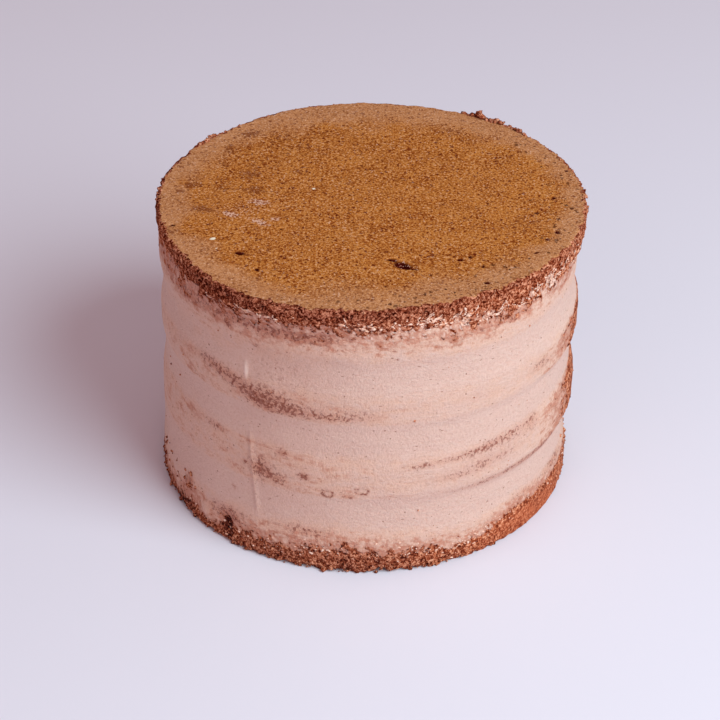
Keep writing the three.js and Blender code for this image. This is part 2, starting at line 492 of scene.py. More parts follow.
    def coat(self, angle: Floats, height: Floats) -> Floats:
        """Radius of the coat: the scraped outside, led in behind the bare crumb at both edges.

        Args:
            angle: Angles in radians.
            height: Heights in mm.

        Returns:
            Radii in mm.
        """
        body = self.scraped(angle, height)
        foot = self.foot_edge(angle)
        tucked = self.scraped(angle, np.zeros_like(height)) + self.foot_proud - self.crumb_proud
        body = blend(tucked, body, smooth_step(height, foot - 5.0, foot + 4.0))
        edge = self.top_edge(angle)
        rise = smooth_step(height, edge - 7.0, edge + 3.0)
        body = blend(body, self.rim(angle) - self.crumb_proud, rise)
        return body - laid(self.dents, angle, height)

    def bareness(self, angle: Floats) -> Floats:
        """How far the scraper took the coat off the middle sponges: 1 at the right, down to 0."""
        turn = np.abs(turned(angle, self.bare_facing))
        return 1.0 - smooth_step(turn, self.bare_near, self.bare_far)

    def top_edge(self, angle: Floats) -> Floats:
        """Height of the coat's upper edge: it wanders round the top sponge."""
        return self.top_sponge + self.top_edge_line.at(angle)

    def foot_edge(self, angle: Floats) -> Floats:
        """Height of the coat's lower edge: it wanders round the bottom sponge."""
        return self.base + self.foot_edge_line.at(angle)

    def over_step(self, height: Floats, level: float) -> Floats:
        """Rises from 0 to 1 over the step in the coat at the given level."""
        return smooth_step(height, level - self.step_below, level + self.step_above)

    def film(self, angle: Floats, height: Floats, points: Floats) -> Floats:
        """Thickness of the cream over what is behind it. Where it is below zero, crumb stands bare.

        It is thick over a filling, thin over a sponge, thinnest towards the right, and it passes
        through zero at both edges. Noise of 2 to 6 mm breaks it up where it is thin: drawn out
        along the scraper's way in the middle, and even near both edges.

        Args:
            angle: Angles in radians.
            height: Heights in mm.
            points: The same places in space, in mm, for the noise.

        Returns:
            Thickness in mm.
        """
        over_lower = smooth_step(height, self.middle_filling - 4, self.middle_filling + 3)
        on_lower = self.over_step(height, self.lower_sponge) * (1 - over_lower)
        over_upper = smooth_step(height, self.upper_filling - 3, self.upper_filling + 3)
        on_upper = self.over_step(height, self.upper_sponge) * (1 - over_upper)
        over_sponge = self.sponge_film + self.front_film.at(angle)
        bare = blend(over_sponge, self.bare_film, self.bareness(angle))
        thick = blend(self.filling_film, bare, on_lower + on_upper)
        spread = 1 + self.wide_fade.at(angle) - self.narrow_fade.at(angle)
        over_edge = (height - self.top_edge(angle)) / spread
        near_top = np.interp(over_edge, self.top_fade_at, (*self.top_fade, -self.crumb_proud))
        spread = 1.15 - 0.5 * smooth_step(np.cos(angle), -0.3, 0.7)
        over_foot = (height - self.foot_edge(angle)) / spread
        near_foot = np.interp(over_foot, self.foot_fade_at, (-self.crumb_proud, *self.foot_fade))
        thick = np.minimum(thick, np.minimum(near_top, near_foot))
        thick = thick + laid(self.smears, angle, height)
        drawn = sum(grain.at(points) for grain in self.drawn_grain)
        torn = sum(grain.at(points) for grain in self.torn_grain)
        ragged = blend(torn, drawn, smooth_step(np.minimum(-over_edge, over_foot), 3.0, 12.0))
        calm = 0.8 * smooth_step(thick, 0.8, 1.6) + 0.5 * (1 - smooth_step(thick, -0.6, -0.2))
        return thick + ragged * (1 - calm)

    def scrape_wear(self, angle: Floats, height: Floats) -> Floats:
        """How rough the bare crumb is: fully at the top and the foot, half where it was scraped."""
        right = smooth_step(np.cos(angle + np.radians(18)), 0.35, 0.8)
        top = smooth_step(height, self.top_sponge, self.top_sponge + 8)
        foot = 1 - smooth_step(height, self.lower_filling - 4, self.lower_filling)
        return 0.40 + 0.65 * top + foot * (0.60 - 0.75 * right)

    def pressed(self, angle: Floats, height: Floats) -> Floats:
        """How smoothly the foot's crumb was pressed: 1 in its stretch at the front right."""
        low = 1 - smooth_step(height, self.base + 8, self.base + 14)
        return self.pressed_foot.at(angle) * low

    def tone(self, angle: Floats, height: Floats, points: Floats) -> Floats:
        """How light the bare crumb is, from 0 for near-black maroon to 1 for orange-brown.

        It is partly the crumb's own colour and partly painted light and shade.

        Args:
            angle: Angles in radians.
            height: Heights in mm.
            points: The same places in space, in mm, for the noise.

        Returns:
            The tone.
        """
        # Painted light: the crumb at the top is lighter towards the right, the side the key light
        # faces.
        right = smooth_step(np.cos(angle), -0.2, 0.8)
        top = blend(0.34, 0.74, right)
        # Painted shade: darker in the top few mm of the bare band, under the crust's rim.
        top = top - 0.22 * smooth_step(height, self.cake_top - 7, self.cake_top - 1)
        top = top + self.light_top.at(angle)
        # Painted light: the foot's crumb is lighter towards the right too.
        foot = blend(0.45, 0.95, smooth_step(np.cos(angle), 0.0, 0.7))
        foot = foot + self.light_foot.at(angle)
        # Painted shade: darker low down in the hollow at the foot near -152 degrees.
        low = 1 - smooth_step(height, self.base + 5, self.base + 9)
        foot = foot - self.crevice_shade.at(angle) * low
        foot = foot + self.foot_tones.at(points)
        middle = 1.0
        above_foot = smooth_step(height, self.lower_filling - 2, self.lower_filling + 2)
        tone = blend(foot, middle, above_foot)
        tone = blend(tone, top, smooth_step(height, self.upper_filling, self.top_sponge))
        return np.clip(tone + self.fine_tones.at(points), 0, 1)

    def place(self, angle: Floats, radius: Floats, height: Floats) -> Floats:
        """Points in the row's frame, in mm, from polar places about the stack's axis.

        Args:
            angle: Angles in radians.
            radius: Radii in mm.
            height: Heights in mm.

        Returns:
            Points, three numbers to a row.
        """
        x = self.axis[0] + radius * np.cos(angle)
        y = self.axis[1] + radius * np.sin(angle)
        return np.stack([x, y, np.broadcast_to(height, x.shape)], axis=-1).reshape(-1, 3)


@dataclass
class SidePoints:
    """What every surface of the side shares at each point, so that they meet without a seam."""

    form: CakeForm
    angle: Floats
    height: Floats
    points: Floats = field(init=False)
    film: Floats = field(init=False)
    crumb: Floats = field(init=False)
    tone: Floats = field(init=False)
    pressed: Floats = field(init=False)
    coat: Floats = field(init=False)

    def __post_init__(self) -> None:
        """Works out the film, the crumb's relief and the coat's radius at each point."""
        form = self.form
        ring = np.full_like(self.angle, form.ring_radius)
        self.points = form.place(self.angle, ring, self.height)
        self.film = form.film(self.angle, self.height, self.points)
        self.crumb = crumb_relief(self.points) * form.scrape_wear(self.angle, self.height)
        self.tone = form.tone(self.angle, self.height, self.points)
        self.pressed = form.pressed(self.angle, self.height)
        self.coat = form.coat(self.angle, self.height)

    def cover(self) -> Floats:
        """Thickness of cream over each lump of crumb: the film less the crumb's relief."""
        return self.film - self.crumb

    def crumb_radius(self) -> Floats:
        """Radius of the sponge: the coat less the film, plus the crumb's relief."""
        return self.coat - np.maximum(self.film, -self.form.crumb_proud) + self.crumb


CRUMB_LUMPS = Grain(0.34, 3.2, 3, 3)
CRUMB_PORES = Pitting(0.45, 3.1, 11, 0.5, 1.1)
CRUMB_MEAN = 0.05


def crumb_relief(points: Floats) -> Floats:
    """Open sponge crumb: soft lumps of three sizes, less pores of uneven size.

    Args:
        points: Points in mm, three to a row.

    Returns:
        Height of the surface over its mean, in mm.
    """
    return CRUMB_LUMPS.at(points) - CRUMB_PORES.at(points) + CRUMB_MEAN


# ---- Meshes ----


def disc_grid(side: int) -> tuple[Floats, Floats, Ints, Ints]:
    """A square grid squashed onto the unit disc, so that its square rings become circles.

    On each ring the angle goes evenly with the way along the square: a quarter turn to a side.

    Args:
        side: Number of points along one side of the square.

    Returns:
        The angle and the radius of each point, the quads, and the boundary's points in order,
        anticlockwise from an eighth of a turn before +X.
    """
    line = np.linspace(-1.0, 1.0, side)
    x, y = np.meshgrid(line, line)
    radius = np.maximum(np.abs(x), np.abs(y))
    safe_x = np.where(x == 0, 1.0, x)
    safe_y = np.where(y == 0, 1.0, y)
    sideways = np.pi / 4 * (y / safe_x) + np.where(x < 0, np.pi, 0.0)
    upright = np.pi / 2 - np.pi / 4 * (x / safe_y) + np.where(y < 0, np.pi, 0.0)
    angle = np.where(np.abs(x) >= np.abs(y), sideways, upright)
    index = np.arange(side * side).reshape(side, side)
    quads = np.stack([index[:-1, :-1], index[:-1, 1:], index[1:, 1:], index[1:, :-1]], axis=-1)
    edge = np.concatenate([index[:-1, -1], index[-1, :0:-1], index[:0:-1, 0], index[0, :-1]])
    return angle.ravel(), radius.ravel(), quads.reshape(-1, 4), edge


def skin(rings: Ints, closed: bool) -> Ints:
    """Quads between rings of point numbers, one ring to a row, facing out where the rings go down.

    Args:
        rings: Point numbers, with each ring anticlockwise from above.
        closed: Whether the last ring joins the first.

    Returns:
        Quads, four point numbers to a row.
    """
    upper = rings if closed else rings[:-1]
    lower = np.roll(rings, -1, axis=0) if closed else rings[1:]
    lower_next = np.roll(lower, -1, axis=1)
    upper_next = np.roll(upper, -1, axis=1)
    return np.stack([upper, lower, lower_next, upper_next], axis=-1).reshape(-1, 4)


def fan(ring: Ints, centre: int) -> Ints:
    """Triangles that close the last ring of a skin with one centre point."""
    return np.stack([ring, np.full_like(ring, centre), np.roll(ring, -1)], axis=-1)


@dataclass
class Surface:
    """Points and faces on their way into a mesh, with one number a point for each attribute."""

    name: str
    points: Floats
    quads: Ints
    triangles: Ints = field(default_factory=lambda: np.zeros((0, 3), dtype=np.int64))
    attributes: dict[str, Floats] = field(default_factory=dict)

    def to_object(self, material: bpy.types.Material) -> bpy.types.Object:
        """Writes the mesh, in metres, and links an object with it at the origin.

        Args:
            material: The finish.

        Returns:
            The new object, shaded smooth.
        """
        mesh = bpy.data.meshes.new(self.name)
        corners = np.concatenate([self.quads.ravel(), self.triangles.ravel()])
        starts = np.concatenate(
            [
                np.arange(len(self.quads)) * 4,
                len(self.quads) * 4 + np.arange(len(self.triangles)) * 3,
            ]
        )
        mesh.vertices.add(len(self.points))
        mesh.vertices.foreach_set("co", (self.points * MM).astype(np.float32).ravel())
        mesh.loops.add(len(corners))
        mesh.loops.foreach_set("vertex_index", corners.astype(np.int32))
        mesh.polygons.add(len(starts))
        mesh.polygons.foreach_set("loop_start", starts.astype(np.int32))
        mesh.polygons.foreach_set("use_smooth", np.ones(len(starts), dtype=bool))
        mesh.update(calc_edges=True)
        mesh.validate()
        for name, values in self.attributes.items():
            attribute = mesh.attributes.new(name, "FLOAT", "POINT")
            attribute.data.foreach_set("value", values.astype(np.float32))
        mesh.materials.append(material)
        made = bpy.data.objects.new(self.name, mesh)
        bpy.context.scene.collection.objects.link(made)
        return made


def dress(piece: bpy.types.Object, slot: str, nodes: Sequence[str] = ()) -> bpy.types.Object:
    """Fixes a piece to the cake's body, and hides the CAD nodes it stands for.

    Args:
        piece: The finished object.
        slot: The record's material slot. Not used.
        nodes: CAD nodes that are no longer shown.

    Returns:
        The piece.
    """
    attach(piece, BODY)
    if nodes:
        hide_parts(*nodes)
    mesh = piece.data
    log.info("%s: %d points, %d faces", piece.name, len(mesh.vertices), len(mesh.polygons))
    return piece


# ---- Shader maths ----


class Socket:
    """A node's output that takes part in expressions: each operator adds its Math node."""

    def __init__(self, shader: Shader, output: bpy.types.NodeSocket) -> None:
        """Wraps an output of a node in the shader's tree."""
        self.shader = shader
        self.output = output

    def _math(self, operation: str, *values: Any) -> Socket:
        """Adds a Math node with the given operation and values."""
        inputs = dict(enumerate(values))
        return self.shader.node("ShaderNodeMath", {"operation": operation}, inputs)

    def __add__(self, other: Any) -> Socket:
        """self + other."""
        return self._math("ADD", self, other)

    __radd__ = __add__

    def __sub__(self, other: Any) -> Socket:
        """self - other."""
        return self._math("SUBTRACT", self, other)

    def __rsub__(self, other: Any) -> Socket:
        """other - self."""
        return self._math("SUBTRACT", other, self)

    def __mul__(self, other: Any) -> Socket:
        """self * other."""
        return self._math("MULTIPLY", self, other)

    __rmul__ = __mul__

    def ramp(self, low: float, high: float) -> Socket:
        """Rises smoothly from 0 where this is low to 1 where it is high."""
        return self.shader.node(
            "ShaderNodeMapRange",
            {"interpolation_type": "SMOOTHSTEP"},
            {"Value": self, "From Min": low, "From Max": high},
        )


class Shader:
    """A material under construction around one Principled shader."""

    def __init__(self, name: str) -> None:
        """Starts an empty material with its Principled shader and its output."""
        self.material = bpy.data.materials.new(name)
        self.material.use_nodes = True
        self.tree = self.material.node_tree
        self.tree.nodes.clear()
        self.principled = self.tree.nodes.new("ShaderNodeBsdfPrincipled")
        output = self.tree.nodes.new("ShaderNodeOutputMaterial")
        self.tree.links.new(self.principled.outputs["BSDF"], output.inputs["Surface"])

    def _feed(self, socket: bpy.types.NodeSocket, value: Any) -> None:
        """Links an expression to a socket, or sets a plain value on it."""
        if isinstance(value, Socket):
            self.tree.links.new(value.output, socket)
        else:
            socket.default_value = value

    def node(
        self, kind: str, settings: dict[str, Any], inputs: dict[Any, Any], output: Any = 0
    ) -> Socket:
        """Adds a node.

        Args:
            kind: The node's type.
            settings: Its properties, which are set first. A ramp's stops are (place, colour) pairs.
            inputs: Values or expressions by the name or number of their socket.
            output: The name or number of the output that is wanted.

        Returns:
            That output.
        """
        made = self.tree.nodes.new(kind)
        for name, value in settings.items():
            if name == "stops":
                elements = made.color_ramp.elements
                for place, colour in value[1:-1]:
                    elements.new(place).color = colour
                for end in (0, -1):
                    elements[end].position, elements[end].color = value[end]
            else:
                setattr(made, name, value)
        for key, value in inputs.items():
            self._feed(made.inputs[key], value)
        return Socket(self, made.outputs[output])

    def grade(self, value: Socket, places: Sequence[float], colours: Sequence[Colour]) -> Socket:
        """Colours by value: each colour at its place, and straight blends between them."""
        stops = list(zip(places, colours))
        return self.node("ShaderNodeValToRGB", {"stops": stops}, {"Fac": value})

    def vector(self, operation: str, inputs: dict[Any, Any]) -> Socket:
        """Adds a Vector Math node."""
        return self.node("ShaderNodeVectorMath", {"operation": operation}, inputs)

    def place(self, across: float = 1.0, up: float = 1.0) -> Socket:
        """Object coordinates in mm, squeezed by across sideways and by up along the height."""
        raw = self.node("ShaderNodeTexCoord", {}, {}, "Object")
        scale = (across / MM, across / MM, up / MM)
        return self.vector("MULTIPLY", {0: raw, 1: scale})

    def warped(self, size: float, amount: float) -> Socket:
        """Object coordinates in mm, pushed about by up to an amount in waves of a given size."""
        place = self.place()
        inputs = {"Vector": place, "Scale": 1.0 / size, "Detail": 1.0}
        waves = self.node("ShaderNodeTexNoise", {}, inputs, "Color")
        middle = self.vector("SUBTRACT", {0: waves, 1: (0.5, 0.5, 0.5)})
        push = self.vector("SCALE", {0: middle, "Scale": 2.0 * amount})
        return self.vector("ADD", {0: place, 1: push})

    def noise(self, place: Socket, size: float, detail: float = 2.0, rough: float = 0.5) -> Socket:
        """Fractal noise with features of the given size in mm, stretched to about 0 to 1."""
        inputs = {"Vector": place, "Scale": 1.0 / size, "Detail": detail, "Roughness": rough}
        raw = self.node("ShaderNodeTexNoise", {}, inputs, "Fac")
        return (raw - 0.5) * NOISE_GAIN + 0.5

    def cells(self, place: Socket, size: float, output: str = "Distance") -> Socket:
        """Voronoi cells of the given size in mm: the distance to the nearest cell's middle."""
        return self.node("ShaderNodeTexVoronoi", {}, {"Vector": place, "Scale": 1.0 / size}, output)

    def cell_random(self, place: Socket, size: float) -> Socket:
        """One random number from 0 to 1 for each Voronoi cell of the given size in mm."""
        shades = self.cells(place, size, "Color")
        return self.node("ShaderNodeSeparateColor", {}, {"Color": shades}, "Red")

    def cover(self) -> Socket:
        """Where cream lies over crumb: 1 where the film is above zero, with a grainy border."""
        fine = self.noise(self.place(), 1.3, 3.0, 0.65)
        return (self.attribute("film") + (fine - 0.5) * 0.6).ramp(-0.12, 0.14)

    def specks(self, place: Socket, size: float, radius: float) -> Socket:
        """Small dots, one in each cell but of uneven sizes: 1 inside a dot.

        Args:
            place: Coordinates in mm.
            size: Size of a cell in mm.
            radius: Radius of the largest dots, as a share of the cell.

        Returns:
            The mask.
        """
        own = self.cell_random(place, size)
        reach = own * own * radius
        return (reach - self.cells(place, size)).ramp(0.0, radius * 0.25)

    def attribute(self, name: str) -> Socket:
        """The piece's own attribute of one number a point."""
        return self.node("ShaderNodeAttribute", {"attribute_name": name}, {}, "Fac")

    def mix(self, first: Any, second: Any, weight: Any) -> Socket:
        """A colour that goes from first to second."""
        settings = {"data_type": "RGBA", "clamp_factor": True}
        return self.node("ShaderNodeMix", settings, {0: weight, 6: first, 7: second}, 2)

    def bump(self, height: Socket, depth: float, strength: float = 1.0) -> Socket:
        """A normal from a height of 0 to 1, which stands for depth in mm."""
        inputs = {"Height": height, "Distance": depth * MM, "Strength": strength}
        return self.node("ShaderNodeBump", {}, inputs)

    def finish(self, **sockets: Any) -> bpy.types.Material:
        """Feeds the Principled shader, with underscores for the spaces in its socket names."""
        for name, value in sockets.items():
            self._feed(self.principled.inputs[name.replace("_", " ")], value)
        return self.material


# ---- Finishes ----


@dataclass(frozen=True)
class CrumbFinish:
    """Open chocolate sponge: uneven lumps with dark gaps, from near-black maroon to orange-brown.

    The attribute for tone and painted light and shade picks between the two sets of colours,
    so the dark set also stands for crumb in painted shade and the warm set for crumb in painted
    light. Where the film attribute is close to zero or above it, cream is smeared over the lumps.
    In this finish and the next two, a noise
    is given by its size in mm, its detail and its roughness, a warp by its size and its amount in
    mm, and dots by their cells' size in mm and their radius as a share of it.
    """

    name: str = "chocolate_crumb"
    dark: tuple[Colour, ...] = each(srgb, (38, 7, 4), (93, 32, 21), (138, 66, 47), (200, 124, 98))
    warm: tuple[Colour, ...] = each(
        srgb, (84, 22, 9), (152, 65, 37), (202, 112, 75), (240, 170, 136)
    )
    places: tuple[float, ...] = (0.06, 0.38, 0.64, 0.98)
    warp: tuple[float, float] = (1.6, 0.8)
    fine: tuple[float, float, float] = (1.0, 3.0, 0.75)
    coarse: tuple[float, float, float] = (2.6, 2.0, 0.5)
    lump: float = 1.15
    fine_share: float = 1.35
    own_share: float = 0.46
    coarse_share: float = 0.2
    relief_shade_share: float = 0.25
    darkening: float = 0.51
    pressed_share: float = 0.62
    pressed_light: float = 0.52
    rough: float = 0.9

    def layer(self, shader: Shader) -> tuple[Socket, Socket]:
        """The crumb's colour and its fine height.

        Args:
            shader: The material under construction.

        Returns:
            Colour and height sockets.
        """
        place = shader.warped(*self.warp)
        fine = shader.noise(place, *self.fine)
        coarse = shader.noise(place, *self.coarse)
        own = shader.cell_random(place, self.lump)
        tone = shader.attribute("tone")
        relief = shader.attribute("relief")
        light = fine * self.fine_share + own * self.own_share + coarse * self.coarse_share
        # Painted shade: the crumb is darker where its relief is low, in pores and dents, and
        # lighter on its raised lumps. On loose crumbs the relief is a random number a lump.
        light = light + relief * self.relief_shade_share - self.darkening
        calm = shader.attribute("pressed") * self.pressed_share
        light = light * (1.0 - calm) + calm * self.pressed_light
        dark = shader.grade(light, self.places, self.dark)
        warm = shader.grade(light, self.places, self.warm)
        return shader.mix(dark, warm, tone), light

    def material(self) -> bpy.types.Material:
        """Builds the material: crumb, with cream over it where the film says so."""
        shader = Shader(self.name)
        crumb, crumb_height = self.layer(shader)
        cream, cream_height = CreamFinish().layer(shader)
        cover = shader.cover()
        height = crumb_height * (1.0 - cover) + cream_height * cover
        return shader.finish(
            Base_Color=shader.mix(crumb, cream, cover),
            Roughness=self.rough - cover * 0.3,
            Normal=shader.bump(height, 0.3),
            Specular_IOR_Level=0.1,
        )


@dataclass(frozen=True)
class CrustFinish:
    """The top sponge: a tan, finely grained baked face with a smoother ring, and crumb below it."""

    name: str = "tan_crust"
    inner: tuple[Colour, ...] = each(
        srgb, (110, 38, 16), (158, 82, 31), (190, 115, 53), (202, 129, 65), (218, 150, 88)
    )
    outer: tuple[Colour, ...] = each(
        srgb, (134, 74, 40), (178, 113, 70), (194, 130, 87), (204, 142, 100), (220, 164, 122)
    )
    places: tuple[float, ...] = (0.04, 0.32, 0.50, 0.68, 1.0)
    grain: tuple[float, float, float] = (0.95, 3.0, 0.8)
    cloud: tuple[float, float, float] = (13.0, 3.0, 0.55)
    contrast: float = 0.98
    cloud_contrast: float = 0.45
    cloud_shade: float = 0.14
    ring_calm: float = 0.42
    dot_warp: tuple[float, float] = (1.3, 1.0)
    dots: tuple[float, float] = (1.7, 0.50)
    pores: tuple[float, float] = (2.0, 0.52)
    sparse_warp: tuple[float, float] = (3.0, 1.4)
    sparse_dots: tuple[float, float] = (4.3, 0.22)
    blots: tuple[float, float, float] = (2.0, 3.0, 0.7)
    edge: tuple[float, float, float] = (1.4, 2.0, 0.6)
    # Pits and open pores are painted in this near-black: the dark crumb at their bottom, and
    # painted shade in the holes.
    pit: Colour = srgb(54, 8, 6)
    dot: Colour = srgb(98, 28, 16)
    blot: Colour = srgb(114, 52, 28)
    smear: Colour = srgb(220, 170, 148)
    flake: Colour = srgb(244, 226, 204)
    rough: float = 0.88
    crumb: CrumbFinish = CrumbFinish()

    def face(self, shader: Shader) -> tuple[Socket, Socket]:
        """The baked face's colour and its fine height.

        Args:
            shader: The material under construction.

        Returns:
            Colour and height sockets.
        """
        place = shader.place()
        ring = shader.attribute("ring")
        grain = shader.noise(place, *self.grain)
        cloud = shader.noise(place, *self.cloud)
        contrast = self.contrast + cloud * self.cloud_contrast - ring * self.ring_calm
        shifted = (grain - 0.5) * contrast + 0.5 - (cloud - 0.5) * self.cloud_shade
        inner = shader.grade(shifted, self.places, self.inner)
        outer = shader.grade(shifted, self.places, self.outer)
        colour = shader.mix(inner, outer, ring)
        warped = shader.warped(*self.dot_warp)
        dots = shader.specks(warped, *self.dots)
        sparse = shader.specks(shader.warped(*self.sparse_warp), *self.sparse_dots)
        sparse = sparse * cloud.ramp(0.25, 0.6)
        colour = shader.mix(colour, self.dot, dots * (0.85 - ring * 0.4))
        colour = shader.mix(colour, self.dot, sparse * 0.8)
        # Painted shade: open pores are darkened to the pits' near-black.
        pores = shader.specks(warped, *self.pores) * shader.attribute("pores")
        colour = shader.mix(colour, self.pit, pores * 0.9)
        blot = shader.attribute("blot") * 0.6 + shader.noise(place, *self.blots)
        colour = shader.mix(colour, self.blot, blot.ramp(0.66, 0.88) * 0.66)
        # Painted shade: the pits are painted near-black, with a little of the dark speck colour.
        pit = (shader.attribute("pit") + (grain - 0.5) * 0.5).ramp(0.2, 0.6)
        colour = shader.mix(colour, shader.mix(self.pit, self.dot, grain.ramp(0.5, 0.7)), pit)
        rubbed = (shader.attribute("smear") * 0.42 + grain).ramp(0.74, 0.94)
        colour = shader.mix(colour, self.smear, rubbed)
        colour = shader.mix(colour, self.flake, shader.attribute("flake").ramp(0.3, 0.7))
        return colour, grain - dots * 0.35 - pores * 0.6

    def material(self) -> bpy.types.Material:
        """Builds the material: the crust attribute tells the face from the crumb."""
        shader = Shader(self.name)
        face, face_height = self.face(shader)
        crumb, crumb_height = self.crumb.layer(shader)
        cream, _ = CreamFinish().layer(shader)
        crumb = shader.mix(crumb, cream, shader.cover())
        edge = shader.noise(shader.place(), *self.edge)
        crust = (shader.attribute("crust") + (edge - 0.5) * 0.6).ramp(0.3, 0.7)
        height = face_height * crust + crumb_height * (1.0 - crust)
        return shader.finish(
            Base_Color=shader.mix(crumb, face, crust),
            Roughness=self.rough,
            Normal=shader.bump(height, 0.25),
            Specular_IOR_Level=0.0,
        )


@dataclass(frozen=True)
class CreamFinish:
    """Mocha buttercream: pink-beige where it is thick, tan and stained where it is worn thin."""

    name: str = "mocha_buttercream"
    thick: Colour = srgb(220, 180, 166)
    thin: Colour = srgb(222, 176, 156)
    stain: Colour = srgb(188, 110, 82)
    dragged: Colour = srgb(126, 48, 24)
    cocoa: Colour = srgb(140, 76, 56)
    grain: Colour = srgb(196, 142, 126)
    light: Colour = srgb(230, 194, 182)
    burr: Colour = srgb(238, 204, 190)
    streak_squeeze: tuple[float, float] = (0.35, 1.5)
    streaks: tuple[float, float, float] = (2.4, 4.0, 0.65)
    mottle: tuple[float, float, float] = (9.0, 3.0, 0.5)
    fine: tuple[float, float, float] = (1.1, 4.0, 0.75)
    stroke_warp: tuple[float, float] = (2.5, 0.9)
    strokes: tuple[float, float, float] = (1.6, 3.0, 0.7)
    dot_warp: tuple[float, float] = (2.0, 0.8)
    dots: tuple[float, float] = (2.3, 0.19)
    dash_squeeze: tuple[float, float] = (0.4, 1.0)
    dashes: tuple[float, float] = (2.0, 0.17)
    worn_share: float = 0.95
    drawn_share: float = 0.85
    grain_share: float = 0.38
    light_share: float = 0.12
    dot_share: float = 0.75
    dash_share: float = 0.55
    rough: float = 0.6
    crumb: CrumbFinish = CrumbFinish()

    def layer(self, shader: Shader) -> tuple[Socket, Socket]:
        """The cream's colour and its fine height, from the piece's film and marks attributes.

        Args:
            shader: The material under construction.

        Returns:
            Colour and height sockets.
        """
        place = shader.place()
        film = shader.attribute("film")
        marks = shader.attribute("marks")
        streaks = shader.noise(shader.place(*self.streak_squeeze), *self.streaks)
        mottle = shader.noise(place, *self.mottle)
        fine = shader.noise(place, *self.fine)
        depth = film + (mottle - 0.5) * 0.4 + (streaks - 0.5) * 0.35
        colour = shader.mix(self.thin, self.thick, depth.ramp(0.7, 1.7))
        worn = 1.0 - (film + (fine - 0.5) * 0.6 + (streaks - 0.5) * 0.4).ramp(0.05, 0.95)
        colour = shader.mix(colour, self.stain, worn * self.worn_share)
        colour = shader.mix(colour, self.stain, marks.ramp(0.0, 0.9) * (streaks * 0.5 + 0.36))
        strokes = shader.noise(shader.warped(*self.stroke_warp), *self.strokes)
        drawn = (strokes + marks * 0.45).ramp(0.74, 0.94) * marks.ramp(0.15, 0.5)
        colour = shader.mix(colour, self.dragged, drawn * self.drawn_share)
        gaps = 1.0 - fine.ramp(0.1, 0.75)
        colour = shader.mix(colour, self.grain, gaps * self.grain_share)
        colour = shader.mix(colour, self.light, streaks.ramp(0.55, 1.0) * self.light_share)
        dots = shader.specks(shader.warped(*self.dot_warp), *self.dots)
        dashes = shader.specks(shader.place(*self.dash_squeeze), *self.dashes)
        colour = shader.mix(colour, self.cocoa, dots * self.dot_share)
        colour = shader.mix(colour, self.cocoa, dashes * self.dash_share)
        colour = shader.mix(colour, self.burr, shader.attribute("burr"))
        return colour, streaks * 0.2 + fine * 0.4 - dots * 0.2 - drawn * 0.15 + 0.3

    def material(self) -> bpy.types.Material:
        """Builds the material: cream, with crumb through it where the film is at its end."""
        shader = Shader(self.name)
        cream, cream_height = self.layer(shader)
        crumb, crumb_height = self.crumb.layer(shader)
        cover = shader.cover()
        height = crumb_height * (1.0 - cover) + cream_height * cover
        return shader.finish(
            Base_Color=shader.mix(crumb, cream, cover),
            Roughness=0.9 - cover * (0.9 - self.rough),
            Normal=shader.bump(height, 0.6),
            Specular_IOR_Level=0.3,
            Subsurface_Weight=0.15,
            Subsurface_Radius=(1.0, 0.55, 0.4),
            Subsurface_Scale=0.0015,
        )


@dataclass(frozen=True)
class FleckFinish:
    """Bits and inner layers of plain cream."""

    name: str = "cream_fleck"
    pale: Colour = srgb(240, 200, 182)
    warm: Colour = srgb(216, 154, 128)
    rough: float = 0.6

    def material(self) -> bpy.types.Material:
        """Builds the material."""
        shader = Shader(self.name)
        fine = shader.noise(shader.place(), 1.2, 3.0, 0.6)
        colour = shader.mix(self.warm, self.pale, fine.ramp(0.2, 0.8))
        return shader.finish(
            Base_Color=colour,
            Roughness=self.rough,
            Normal=shader.bump(fine, 0.1),
            Specular_IOR_Level=0.3,
        )


@dataclass(frozen=True)
class FloorFinish:
    """A plain pale floor."""

    name: str = "studio_floor"
    paint: Colour = srgb(226, 218, 230)
    rough: float = 0.8

    def material(self) -> bpy.types.Material:
        """Builds the material."""
        return Shader(self.name).finish(Base_Color=self.paint, Roughness=self.rough)


class Finish(Enum):
    """The finishes that pieces choose from."""

    CRUMB = CrumbFinish()
    CRUST = CrustFinish()
    CREAM = CreamFinish()
    FLECK = FleckFinish()
    FLOOR = FloorFinish()

    @functools.cache
    def material(self) -> bpy.types.Material:
        """The finish's material, made on first use."""
        return self.value.material()


# ---- Sponges ----


@dataclass(frozen=True)
class Oval:
    """A soft oval on the top, at x and y from the stack's axis, turned by an angle in degrees."""

    x: float
    y: float
    length: float
    width: float
    turn: float = 0.0
    strength: float = 1.0

    def weight(self, x: Floats, y: Floats) -> Floats:
        """1 in the oval's middle, falling along a bell to 0 outside it."""
        turn = np.radians(self.turn)
        along = (x - self.x) * np.cos(turn) + (y - self.y) * np.sin(turn)
        across = (y - self.y) * np.cos(turn) - (x - self.x) * np.sin(turn)
        return np.exp(-(((2 * along / self.length) ** 2 + (2 * across / self.width) ** 2) ** 1.5))


